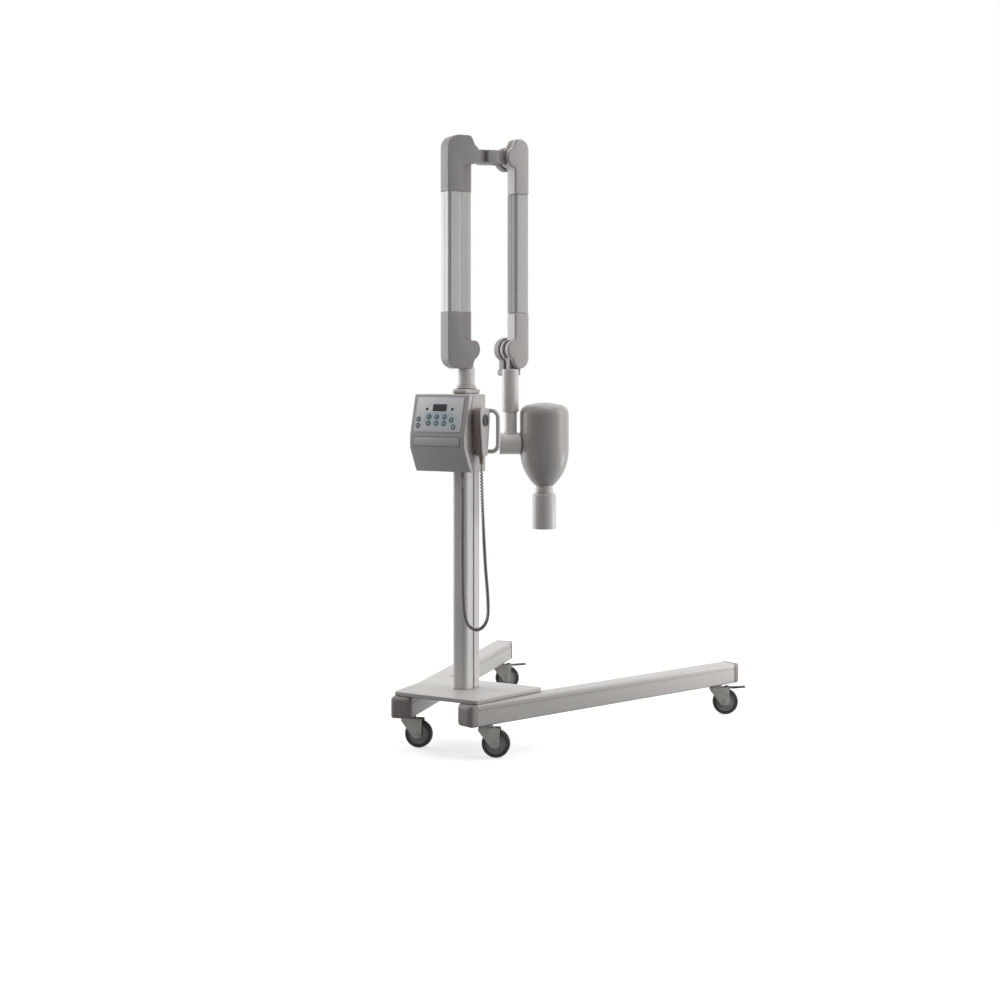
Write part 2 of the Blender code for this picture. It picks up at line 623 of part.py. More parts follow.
def build_keypad(looks, axis):
    """Membrane keypad with embossed keys, and the display window, on the slanted front."""
    top, high = front_profile()[:2]
    middle = (top + high) / 2
    lean = math.atan2(top.x - high.x, top.y - high.y)
    frame = empty("keypad_frame", (0, middle.x, middle.y), axis)
    frame.rotation_euler = (-lean, 0, 0)
    half = (top - high).length / 2 - PANEL_MARGIN
    outline = box_outline(-PANEL_WIDTH / 2, PANEL_WIDTH / 2, -half, half, 0.004)
    foil = piece("keypad", prism(outline, -GAP - PANEL_THICKNESS, -GAP, "Y"), looks["foil"], frame)
    keys = bmesh.new()
    for x, z in KEY_PLACES:
        key = cylinder(KEY_RADIUS, -KEY_HEIGHT, 0.0004, 14, "Y")
        moved(key, x, -GAP - PANEL_THICKNESS, (z - middle.y) / math.cos(lean))
        scratch = bpy.data.meshes.new("key")
        key.to_mesh(scratch)
        key.free()
        keys.from_mesh(scratch)
        bpy.data.meshes.remove(scratch)
    fuse(foil, keys)
    display_z = (DISPLAY_Z - middle.y) / math.cos(lean)
    window = box_outline(-DISPLAY_WIDTH / 2, DISPLAY_WIDTH / 2, display_z - DISPLAY_HEIGHT / 2,
                         display_z + DISPLAY_HEIGHT / 2, 0.0015)
    outer = -2 * GAP - PANEL_THICKNESS
    piece("display_window", prism(window, outer - 0.001, outer, "Y"), looks["glass"], frame)


def handset_outline():
    """Front view (y, z) of the hand switch, a little narrower at the bottom."""
    half = HANDSET_WIDTH / 2
    return rounded([
        (HANDSET_Y - half + HANDSET_TAPER, HANDSET_BOTTOM, 0.008),
        (HANDSET_Y + half - HANDSET_TAPER, HANDSET_BOTTOM, 0.008),
        (HANDSET_Y + half, HANDSET_TOP, 0.006), (HANDSET_Y - half, HANDSET_TOP, 0.006),
    ])


def button_outline(clearance=0.0):
    """Oval of the exposure button (y, z)."""
    wide = BUTTON_WIDTH / 2 + clearance
    tall = BUTTON_HEIGHT / 2 + clearance
    return [Vector((HANDSET_Y + wide * math.cos(turn), BUTTON_Z + tall * math.sin(turn)))
            for turn in (math.tau * step / 24 for step in range(24))]


def build_handset(looks, axis):
    """Hand switch in its holder on the box side, with the exposure button."""
    half = HANDSET_WIDTH / 2 - 0.006
    holder = box_outline(HANDSET_Y - half, HANDSET_Y + half, HANDSET_BOTTOM + 0.012, HANDSET_TOP - 0.010, 0.005)
    piece("handset_holder", prism(holder, BOX_SIDE + GAP, BOX_SIDE + GAP + HOLDER_THICKNESS, "X"),
          looks["dark_plastic"], axis, 0.001)
    back_end = HANDSET_BACK_X + HANDSET_BACK_THICKNESS
    piece("handset_back", prism(handset_outline(), HANDSET_BACK_X, back_end, "X"), looks["dark_plastic"], axis,
          0.002)
    face = piece("handset_face", prism(handset_outline(), HANDSET_FACE_X, HANDSET_FRONT_X, "X"), looks["enamel"],
                 axis, 0.0015)
    cut(face, prism(button_outline(GAP), back_end - 0.01, HANDSET_FRONT_X + 0.01, "X"))
    button = prism(button_outline(), HANDSET_FACE_X + BUTTON_TRAVEL + GAP, HANDSET_FRONT_X + BUTTON_PROUD, "X")
    piece("exposure_button", button, looks["dark_plastic"], axis, 0.0006, 1)


def relief_mesh(x, y, top):
    """Ribbed strain relief hanging from a face at the given height."""
    ribs = 3
    profile = [(0, top)]
    for rib in range(ribs):
        high = top - RELIEF_LENGTH * rib / ribs
        radius = RELIEF_RADIUS - 0.0004 * rib
        low = high - RELIEF_LENGTH / ribs
        profile += [(radius, high), (radius, low + 0.0014), (radius - 0.0009, low + 0.0014), (radius - 0.0009, low)]
    profile.append((0, top - RELIEF_LENGTH))
    return moved(turned(list(reversed(profile)), 12), x, y)


def smooth_route(points, count):
    """Points read evenly from a Catmull-Rom curve through the route."""
    route = [Vector(point) for point in points]
    route = [route[0] * 2 - route[1]] + route + [route[-1] * 2 - route[-2]]
    dense = []
    for a, b, c, d in zip(route, route[1:], route[2:], route[3:]):
        for step in range(24):
            t = step / 24
            dense.append(0.5 * ((2 * b) + (c - a) * t + (2 * a - 5 * b + 4 * c - d) * t ** 2
                                + (3 * b - a - 3 * c + d) * t ** 3))
    dense.append(route[-2])
    lengths = [0.0]
    for first, second in zip(dense, dense[1:]):
        lengths.append(lengths[-1] + (second - first).length)
    even = []
    index = 0
    for step in range(count):
        want = lengths[-1] * step / (count - 1)
        while index < len(lengths) - 2 and lengths[index + 1] < want:
            index += 1
        part = (want - lengths[index]) / (lengths[index + 1] - lengths[index])
        even.append(dense[index].lerp(dense[index + 1], part))
    return even


def rod(name, points, radius, look, parent, resolution):
    """Round bar or cord along a list of points."""
    curve = bpy.data.curves.new(name, "CURVE")
    curve.dimensions = "3D"
    curve.bevel_depth = radius
    curve.bevel_resolution = resolution
    curve.render_resolution_u = 0
    curve.use_fill_caps = True
    spline = curve.splines.new("POLY")
    spline.points.add(len(points) - 1)
    for target, point in zip(spline.points, points):
        target.co = (*point, 1.0)
    curve.materials.append(look)
    made = bpy.data.objects.new(name, curve)
    bpy.context.scene.collection.objects.link(made)
    made.parent = parent
    return made


def build_handle(looks, axis):
    """Bent tube handle that stands out of the box side."""
    start = BOX_SIDE + GAP
    reach = start + HANDLE_REACH
    outline = [Vector((start, HANDLE_TOP))]
    outline += arc((reach - HANDLE_BEND, HANDLE_TOP - HANDLE_BEND), HANDLE_BEND, 90, 0, 6)
    outline += arc((reach - HANDLE_BEND, HANDLE_BOTTOM + HANDLE_BEND), HANDLE_BEND, 0, -90, 6)
    outline.append(Vector((start, HANDLE_BOTTOM)))
    rod("push_handle", [(x, HANDLE_Y, z) for x, z in outline], HANDLE_RADIUS, looks["alloy"], axis, 3)


def build_cord(looks, axis):
    """Curly cord, as its outer tube, between the two strain reliefs."""
    handset = (HANDSET_RELIEF_X, HANDSET_Y + 0.003)
    piece("handset_relief", relief_mesh(*handset, HANDSET_BOTTOM - GAP), looks["dark_plastic"], axis)
    piece("box_relief", relief_mesh(*BOX_RELIEF, BOX_BOTTOM - GAP), looks["dark_plastic"], axis)
    start = (*handset, HANDSET_BOTTOM - RELIEF_LENGTH - 2 * GAP)
    end = (*BOX_RELIEF, BOX_BOTTOM - RELIEF_LENGTH - 2 * GAP)
    lead_in = (start[0], start[1], start[2] - 0.02)
    lead_out = (end[0], end[1], end[2] - 0.02)
    route = smooth_route([start, lead_in, *CORD_ROUTE, lead_out, end], CORD_POINTS)
    rod("coiled_cord", route, CORD_RADIUS, looks["cord"], axis, 3)


def cover_outline(outer, inner, corner):
    """End cover outline about its pivot at the top end of an arm, outer side at -X."""
    knuckle = arc((0, 0), KNUCKLE_RADIUS, 60, -48, 7)
    top = END_COVER_TOP
    head = rounded([
        (-outer, -END_COVER_REACH, 0), (-outer, top, corner), (0.004, top, 0.014), (*knuckle[0], 0),
    ], 5)
    return head + knuckle[1:] + [Vector((inner, -0.030)), Vector((inner, -END_COVER_REACH))]


def slot_outline(rest, limit, half_width):
    """Room for a tongue that turns between two directions, in degrees, seen from its arm."""
    side = 1 if limit > rest else -1
    far = END_COVER_REACH * 1.5
    lean = math.degrees(math.asin(half_width / SLOT_RADIUS))
    back = arc((0, 0), SLOT_RADIUS, limit + side * lean, rest + side * (360 - lean), 12)
    rest_end = arc_point(half_width, math.radians(rest - side * 90)) + arc_point(far, math.radians(rest))
    limit_end = arc_point(half_width, math.radians(limit + side * 90)) + arc_point(far, math.radians(limit))
    return back + [rest_end, arc_point(far * 1.4, math.radians((rest + limit) / 2)), limit_end]


def rail_mesh(inner, low, high):
    """Thinner rounded rail along the inner side of the lower arm, between two heights."""
    half = RAIL_THICKNESS / 2
    root = LOWER_ARM_INNER - BEAM_SETBACK - BEAM_STEP - 0.002
    plan = rounded([(root, -half, 0), (inner, -half, RAIL_CORNER), (inner, half, RAIL_CORNER), (root, half, 0)])
    return prism(plan, low, high)


def build_cover(name, outline, pivot, mirror_x, mirror_z, slot, looks, frame, rail=0.0):
    """One arm end cover with the slot for the tongue, the pin's holes and a plug for the beam."""
    def place(points):
        placed = [Vector((mirror_x * point[0], mirror_z * point[1])) for point in points]
        return [Vector((point.x + pivot[0], point.y + pivot[1])) for point in placed]

    half = ARM_THICKNESS / 2
    cover = piece(name, prism(place(outline), -half, half, "Y"), looks["arm_plastic"], frame, 0.006)
    gap = TONGUE_SLOT / 2
    xs = [point[0] for point in outline]
    inset = BEAM_STEP + BEAM_WALL + GAP
    narrow = half - inset
    plug_end = outline[-1][0] - inset - (BEAM_SETBACK if rail else 0)
    plug = box_outline(min(xs) + inset, plug_end, -END_COVER_REACH - COVER_SPIGOT,
                       -END_COVER_REACH + 0.010)
    fuse(cover, prism(place(plug), -narrow, narrow, "Y"))
    if rail:
        fuse(cover, rail_mesh(rail, *sorted((pivot[1] - mirror_z * 0.022, pivot[1] - mirror_z * END_COVER_REACH))))
    slot_points = [Vector((point.x + pivot[0], point.y + pivot[1])) for point in slot]
    cut(cover, prism(slot_points, -gap, gap, "Y"))
    bore = cylinder(PIN_RADIUS + GAP, -PIN_NEAR_DEPTH - GAP, ARM_THICKNESS, PIN_STEPS, "Y")
    cut(cover, moved(bore, pivot[0], 0, pivot[1]))


def beam_outline(low, high):
    """Arm extrusion section (x, y) with a clip groove beside each long corner."""
    half = ARM_THICKNESS / 2 - BEAM_STEP
    groove = half - 0.006
    deep = BEAM_GROOVE
    left = low + BEAM_STEP
    right = high - BEAM_STEP
    corners = [
        (left, -half, 0.004), (right, -half, 0.004), (right, -groove, 0), (right - deep / 2, -groove + deep / 2, 0),
        (right, -groove + deep, 0), (right, groove - deep, 0), (right - deep / 2, groove - deep / 2, 0),
        (right, groove, 0), (right, half, 0.004), (left, half, 0.004), (left, groove, 0),
        (left + deep / 2, groove - deep / 2, 0), (left, groove - deep, 0), (left, -groove + deep, 0),
        (left + deep / 2, -groove + deep / 2, 0), (left, -groove, 0),
    ]
    return rounded(corners, 3)


def build_beam(name, low, high, looks, frame):
    """Hollow beam between an arm's two end covers."""
    bottom = PIVOT_LOW_Z + END_COVER_REACH + GAP
    top = PIVOT_HIGH_Z - END_COVER_REACH - GAP
    beam = piece(name, prism(beam_outline(low, high), bottom, top), looks["alloy"], frame)
    wall = BEAM_STEP + BEAM_WALL
    half = ARM_THICKNESS / 2 - wall
    cut(beam, prism(box_outline(low + wall, high - wall, -half, half), PIVOT_LOW_Z, PIVOT_HIGH_Z))
    return beam


def tongue(pivot, direction, length, half_width, low, high, radius=TONGUE_RADIUS):
    """Flat tongue or ear with a round end at a pivot, running off in one direction in degrees."""
    reach = math.sqrt(max(radius ** 2 - half_width ** 2, 0))
    spread = math.degrees(math.atan2(half_width, reach))
    end = arc((0, 0), radius, spread, 360 - spread, 14)
    points = [Vector((length, half_width))] + end + [Vector((length, -half_width))]
    turn = Matrix.Rotation(math.radians(direction), 2)
    placed = [turn @ point + Vector(pivot) for point in points]
    return prism(placed, low, high, "Y")


def pin_bore(pivot):
    """Cutter for the pin's hole through a tongue or an ear."""
    reach = EAR_FACE + EAR_THICKNESS * 1.2
    return moved(cylinder(PIN_RADIUS + GAP, -reach, reach, PIN_STEPS, "Y"), pivot[0], 0, pivot[1])


def pin(name, pivot, far_end, looks, frame):
    """Hardened pin pressed into an end cover from its far side."""
    made = cylinder(PIN_RADIUS, -PIN_NEAR_DEPTH, far_end, PIN_STEPS, "Y", 0.0008)
    piece(name, moved(made, pivot[0], 0, pivot[1]), looks["steel"], frame)


def build_post(looks, frame):
    """Post that turns in the column's bush and ends in the lower arm's tongue."""
    shoulder = PIVOT_LOW_Z - END_COVER_TOP - 0.001
    base = COLLAR_TOP + GAP
    profile = [
        (0, COLUMN_TOP - BUSH_LENGTH + 0.005), (SPINDLE_RADIUS, COLUMN_TOP - BUSH_LENGTH + 0.005),
        (SPINDLE_RADIUS, base), (POST_RADIUS, base), (POST_RADIUS, shoulder - 0.003),
        (POST_RADIUS - 0.003, shoulder), (0, shoulder),
    ]
    post = piece("arm_post", turned(profile), looks["alloy"], frame)
    pivot = (0, PIVOT_LOW_Z)
    half = TONGUE_THICKNESS / 2
    fuse(post, tongue(pivot, -90, END_COVER_TOP + 0.006, TONGUE_HALF_WIDTH, -half, half))
    cut(post, pin_bore(pivot))


def build_lower_arm(looks, frame):
    """Lower arm: it stands on the post and tilts outwards."""
    outline = cover_outline(LOWER_ARM_OUTER, LOWER_ARM_INNER, LOWER_COVER_CORNER)
    low = (0, PIVOT_LOW_Z)
    high = (0, PIVOT_HIGH_Z)
    width = TONGUE_HALF_WIDTH + 0.001
    foot_slot = slot_outline(-90, -90 + LOWER_TILT + SWEEP_MARGIN, width)
    head_slot = slot_outline(0, LOWER_TILT + SWEEP_MARGIN, width)
    build_cover("lower_arm_foot_cover", outline, low, 1, -1, foot_slot, looks, frame, LOWER_RAIL_INNER)
    build_cover("lower_arm_head_cover", outline, high, 1, 1, head_slot, looks, frame, LOWER_RAIL_INNER)
    beam = build_beam("lower_arm_beam", -LOWER_ARM_OUTER, LOWER_ARM_INNER - BEAM_SETBACK, looks, frame)
    ends = (PIVOT_LOW_Z + END_COVER_REACH + GAP, PIVOT_HIGH_Z - END_COVER_REACH - GAP)
    fuse(beam, rail_mesh(LOWER_RAIL_INNER - 0.001, *ends))
    room = RAIL_THICKNESS / 2 - BEAM_WALL
    hollow = box_outline(LOWER_ARM_INNER - 0.004, LOWER_RAIL_INNER - 0.001 - BEAM_WALL, -room, room)
    cut(beam, prism(hollow, PIVOT_LOW_Z, PIVOT_HIGH_Z))
    pin("lower_arm_foot_pin", low, PIN_FAR_REACH, looks, frame)
    pin("lower_arm_head_pin", high, PIN_FAR_REACH, looks, frame)


def build_upper_arm(looks, frame):
    """Upper arm: it hangs from the crossbar and swings out and up."""
    outline = cover_outline(UPPER_ARM_OUTER, UPPER_ARM_INNER, UPPER_COVER_CORNER)
    low = (ARM_SPACING, PIVOT_LOW_Z)
    high = (ARM_SPACING, PIVOT_HIGH_Z)
    width = TONGUE_HALF_WIDTH + 0.001
    head_slot = slot_outline(180, 180 - UPPER_TILT - SWEEP_MARGIN, width)
    foot_slot = slot_outline(270, 270 - UPPER_TILT - SWEEP_MARGIN, width)
    build_cover("upper_arm_foot_cover", outline, low, -1, -1, foot_slot, looks, frame)
    build_cover("upper_arm_head_cover", outline, high, -1, 1, head_slot, looks, frame)
    build_beam("upper_arm_beam", ARM_SPACING - UPPER_ARM_INNER, ARM_SPACING + UPPER_ARM_OUTER, looks, frame)
    far_end = EAR_FACE + EAR_THICKNESS - 0.002
    pin("upper_arm_foot_pin", low, far_end, looks, frame)
    pin("upper_arm_head_pin", high, far_end, looks, frame)


def build_crossbar(looks, frame):
    """Link between the two arms, kept level by their rods, with an outer ear on the upper arm."""
    near = (0, PIVOT_HIGH_Z)
    far = (ARM_SPACING, PIVOT_HIGH_Z)
    half = TONGUE_THICKNESS / 2
    ear = EAR_FACE
    span = BLOCK_SETBACK + 0.004
    block = box_outline(BLOCK_SETBACK, ARM_SPACING - BLOCK_SETBACK, PIVOT_HIGH_Z - TONGUE_HALF_WIDTH,
                        PIVOT_HIGH_Z + TONGUE_HALF_WIDTH)
    bar = piece("crossbar", prism(block, -BAR_THICKNESS / 2, ear + EAR_THICKNESS, "Y"), looks["arm_plastic"], frame,
                0.004)
    fuse(bar, tongue(near, 0, span, TONGUE_HALF_WIDTH - 0.0005, -half, half))
    fuse(bar, tongue(far, 180, span, TONGUE_HALF_WIDTH - 0.0005, -half, half))
    fuse(bar, tongue(far, 180, span, TONGUE_HALF_WIDTH - 0.001, ear, ear + EAR_THICKNESS - 0.001, EAR_RADIUS))
    cut(bar, pin_bore(near))
    cut(bar, pin_bore(far))


def build_drop_bracket(looks, frame):
    """Level bracket under the upper arm, with the sleeve that holds the drop tube."""
    pivot = (ARM_SPACING, PIVOT_LOW_Z)
    half = TONGUE_THICKNESS / 2
    ear = EAR_FACE
    top = PIVOT_LOW_Z - END_COVER_TOP - 0.001
    shoulder = top - 0.020
    profile = [
        (0, SLEEVE_BOTTOM), (SLEEVE_RADIUS - 0.002, SLEEVE_BOTTOM), (SLEEVE_RADIUS, SLEEVE_BOTTOM + 0.002),
        (SLEEVE_RADIUS, top - 0.003), (SLEEVE_RADIUS - 0.003, top), (0, top),
    ]
    bracket = piece("drop_bracket", moved(turned(profile), TUBE_X), looks["arm_plastic"], frame)
    side = ARM_SPACING - TONGUE_HALF_WIDTH - 0.004
    block = box_outline(side, ARM_SPACING + TONGUE_HALF_WIDTH, shoulder, top, 0.006)
    fuse(bracket, prism(block, -half, ear + EAR_THICKNESS, "Y"))
    reach = PIVOT_LOW_Z - shoulder - 0.004
    fuse(bracket, tongue(pivot, -90, reach, TONGUE_HALF_WIDTH - 0.0005, -half, half))
    fuse(bracket, tongue(pivot, -90, reach, TONGUE_HALF_WIDTH - 0.001, ear, ear + EAR_THICKNESS - 0.001, EAR_RADIUS))
    cut(bracket, pin_bore(pivot))
    bore = cylinder(TUBE_RADIUS + RUNNING, SLEEVE_BOTTOM - TUBE_ENGAGEMENT, SLEEVE_BOTTOM + TUBE_ENGAGEMENT)
    cut(bracket, moved(bore, TUBE_X))


def build_elbow(looks, drop):
    """Drop tube and the elbow that carries the head's tilt bearing."""
    tube_top = SLEEVE_BOTTOM + TUBE_ENGAGEMENT - 0.001
    tube_low = ELBOW_Z + TRUNNION_RADIUS + 0.003
    piece("drop_tube", cylinder(TUBE_RADIUS, tube_low, tube_top, ROUND, "Z", 0.001), looks["alloy"], drop)
    end = HEAD_REACH - HEAD_PAD - SWIVEL_DISC_THICKNESS - 2 * GAP
    elbow = piece("elbow", moved(cylinder(ELBOW_RADIUS, -ELBOW_BACK, end, 32, "X", 0.004), 0, 0, ELBOW_Z),
                  looks["arm_plastic"], drop)
    cut(elbow, cylinder(TUBE_RADIUS + GAP, tube_low - GAP, ELBOW_Z + 0.1))
    cut(elbow, moved(cylinder(TRUNNION_RADIUS + RUNNING, end - TRUNNION_LENGTH, end + 0.01, 16, "X"), 0, 0, ELBOW_Z))


def head_profile():
    """Tube head profile (radius, height) from the neck up: a tapered bowl, a wall and a soft crown."""
    bowl_low = Vector((NECK_RADIUS + 0.002, HEAD_NECK_Z))
    bowl_bend = Vector((HEAD_RADIUS - 0.002, HEAD_NECK_Z + 0.040))
    bowl_high = Vector((HEAD_RADIUS, HEAD_NECK_Z + 0.102))
    bowl = []
    for step in range(7):
        t = step / 6
        bowl.append(bowl_low * (1 - t) ** 2 + bowl_bend * (2 * t * (1 - t)) + bowl_high * t ** 2)
    crown_radius = 0.028
    crown = arc((HEAD_RADIUS - crown_radius, HEAD_TOP - 0.006 - crown_radius), crown_radius, 0, 75, 4)
    return [Vector((0, HEAD_NECK_Z))] + bowl + crown + [Vector((0.022, HEAD_TOP - 0.001)), Vector((0, HEAD_TOP))]


def build_head(looks, drop):
    """Tube head, its swivel disc and trunnion, the neck ring and the open collimator cone."""
    tilt = empty("head_tilt", (HEAD_REACH, 0, ELBOW_Z), drop)
    head = piece("head_shell", moved(turned(head_profile(), 36), 0, 0, -ELBOW_Z), looks["arm_plastic"], tilt)
    cut(head, cylinder(HEAD_PAD_RADIUS, -HEAD_RADIUS - 0.02, -HEAD_PAD, 28, "X"))
    face = -HEAD_PAD - GAP
    disc_radius = ELBOW_RADIUS - 0.001
    back = face - SWIVEL_DISC_THICKNESS
    profile = [
        (0, face), (disc_radius, face), (disc_radius, back), (TRUNNION_RADIUS, back),
        (TRUNNION_RADIUS, back - TRUNNION_LENGTH + 0.002), (0, back - TRUNNION_LENGTH + 0.002),
    ]
    piece("swivel_disc", turned(list(reversed(profile)), 32, "X"), looks["dark_plastic"], tilt)
    neck = cylinder(NECK_RADIUS, CONE_TOP - ELBOW_Z + GAP, HEAD_NECK_Z - ELBOW_Z - GAP, 28, "Z", 0.0015)
    piece("neck_ring", neck, looks["arm_plastic"], tilt)
    low = CONE_BOTTOM - ELBOW_Z
    high = CONE_TOP - ELBOW_Z
    inner = CONE_RADIUS - CONE_WALL
    cone = [
        (0, high - CONE_WALL), (inner, high - CONE_WALL), (inner, low), (CONE_RADIUS, low),
        (CONE_RADIUS, high - 0.006), (NECK_RADIUS + 0.003, high), (0, high),
    ]
    piece("collimator_cone", turned(cone, 32), looks["enamel"], tilt)


def centre_on_footprint(stand):
    """Moves the whole stand so that the origin lies under the middle of the object's box."""
    bpy.context.view_layer.update()
    graph = bpy.context.evaluated_depsgraph_get()
    points = []
    for item in bpy.context.scene.objects:
        if item.type == "EMPTY" or item.hide_render or item.name == "coiled_cord":
            continue
        shown = item.evaluated_get(graph)
        shape = shown.to_mesh()
        points += [shown.matrix_world @ vert.co for vert in shape.vertices]
        shown.to_mesh_clear()
    for axis in range(2):
        values = [point[axis] for point in points]
        stand.location[axis] -= (min(values) + max(values)) / 2
    bpy.context.view_layer.update()


def main():
    for item in list(bpy.data.objects):
        bpy.data.objects.remove(item, do_unlink=True)
    looks = make_looks()
    stand = empty("stand")
    axis = empty("column_axis", (0, COLUMN_Y, 0), stand)
    fold = empty("fold_plane", (0, 0, 0), axis, ARM_HEADING)
    drop = empty("drop_axis", (TUBE_X, 0, 0), fold, ELBOW_HEADING - ARM_HEADING)
    build_base(looks, stand)
    build_column(looks, axis)
    build_box(looks, axis)
    build_handset(looks, axis)
    build_handle(looks, axis)
    build_cord(looks, axis)
    build_post(looks, fold)
    build_lower_arm(looks, fold)
    build_crossbar(looks, fold)
    build_upper_arm(looks, fold)
    build_drop_bracket(looks, fold)
    build_elbow(looks, drop)
    build_head(looks, drop)
    centre_on_footprint(stand)


main()
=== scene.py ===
"""Looks of the mobile intraoral dental x-ray unit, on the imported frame."""
import math

import bmesh
import bpy
from mathutils import Matrix, Vector


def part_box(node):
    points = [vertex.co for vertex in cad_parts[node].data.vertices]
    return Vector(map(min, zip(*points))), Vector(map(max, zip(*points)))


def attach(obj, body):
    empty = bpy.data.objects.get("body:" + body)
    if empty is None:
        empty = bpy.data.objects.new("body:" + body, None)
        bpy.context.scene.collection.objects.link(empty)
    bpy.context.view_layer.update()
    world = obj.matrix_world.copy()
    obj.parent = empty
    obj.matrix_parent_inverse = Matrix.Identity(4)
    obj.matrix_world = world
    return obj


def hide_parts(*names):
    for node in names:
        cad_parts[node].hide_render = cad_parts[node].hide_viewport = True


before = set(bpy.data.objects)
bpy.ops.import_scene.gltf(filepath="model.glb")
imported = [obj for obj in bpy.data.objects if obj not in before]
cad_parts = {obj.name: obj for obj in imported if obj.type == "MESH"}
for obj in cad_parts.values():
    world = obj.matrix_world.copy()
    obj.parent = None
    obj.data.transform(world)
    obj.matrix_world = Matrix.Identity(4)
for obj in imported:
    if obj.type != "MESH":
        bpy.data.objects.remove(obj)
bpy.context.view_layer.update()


# Frames. COLUMN stands on the column's axis with the keypad towards -Y, STAND is the middle of the base
# behind it, and FOLD turns COLUMN so that +X runs from the lower arm to the upper one.
COLUMN_Y = 0.182
ARM_HEADING = 62.0
low_corner, high_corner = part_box("column")
middle = (low_corner + high_corner) / 2
COLUMN = Matrix.Translation((middle.x, middle.y, 0))
STAND = COLUMN @ Matrix.Translation((0, -COLUMN_Y, 0))
FOLD = COLUMN @ Matrix.Rotation(math.radians(ARM_HEADING), 4, "Z")
GAP = 0.0003


# Camera. It is level and stands about 5 m away at 1.09 m, and its lens is shifted down a little, because
# the upright lines in the photograph stay upright.
VIEW_TURN = math.radians(32.1)


def put(name, data):
    """Object of this name and data in the scene."""
    made = bpy.data.objects.new(name, data)
    bpy.context.scene.collection.objects.link(made)
    return made


data = bpy.data.cameras.new("camera")
data.sensor_width = 36
data.lens = 64.8
data.shift_y = -0.131
camera = put("camera", data)
camera.location = STAND @ Vector((2.8583, -4.1908, 1.092))
camera.rotation_euler = (math.radians(90), 0, VIEW_TURN)
bpy.context.scene.camera = camera


# Curly cord. A soft-vinyl coiled lead of 4 mm wire that was wound on a rod and heat-set. It runs from the
# hand switch, down and round in a loop, up into the box's underside. Its own weight opens the upper coils.
CORD_WIRE = 0.004
CORD_HELIX = 0.0035
CORD_LEAD = 0.016
TURN_POINTS = 12
CLOSED_PITCH = 0.0048
OPEN_PITCH = 0.0088
CLOSED_BELOW = 0.60
OPEN_ABOVE = 0.74
CORD_ROUTE = (
    (0.114, -0.091, 0.700),
    (0.118, -0.084, 0.550),
    (0.123, -0.077, 0.440),
    (0.119, -0.074, 0.385),
    (0.100, -0.074, 0.357),
    (0.074, -0.075, 0.352),
    (0.051, -0.077, 0.372),
    (0.042, -0.079, 0.430),
    (0.040, -0.080, 0.540),
    (0.040, -0.080, 0.660),
)
BOX_SIDE = 0.093
BOX_BOTTOM = 0.800
BOX_RELIEF = (0.040, -0.080)
RELIEF_LENGTH = 0.022
HANDSET_Y = -0.095
HANDSET_BOTTOM = 0.846
HOLDER_THICKNESS = 0.008
HANDSET_BACK_X = BOX_SIDE + GAP + HOLDER_THICKNESS + GAP
HANDSET_LEAD = (HANDSET_BACK_X + 0.0095, HANDSET_Y + 0.003)


def linear(code, alpha=1.0):
    """Linear colour from an sRGB hex code."""
    parts = [int(code[index:index + 2], 16) / 255 for index in (1, 3, 5)]
    return (*[part / 12.92 if part <= 0.04045 else ((part + 0.055) / 1.055) ** 2.4 for part in parts], alpha)


def add(tree, kind, links=None, stops=(), **settings):
    """Adds a node with its settings; each named input gets a value or a link from a socket."""
    node = tree.nodes.new(kind)
    for key, value in settings.items():
        setattr(node, key, value)
    for key, value in (links or {}).items():
        if isinstance(value, bpy.types.NodeSocket):
            tree.links.new(value, node.inputs[key])
        else:
            node.inputs[key].default_value = value
    for index, (position, colour) in enumerate(stops):
        elements = node.color_ramp.elements
        element = elements[index] if index < len(elements) else elements.new(position)
        element.position = position
        element.color = colour
    return node


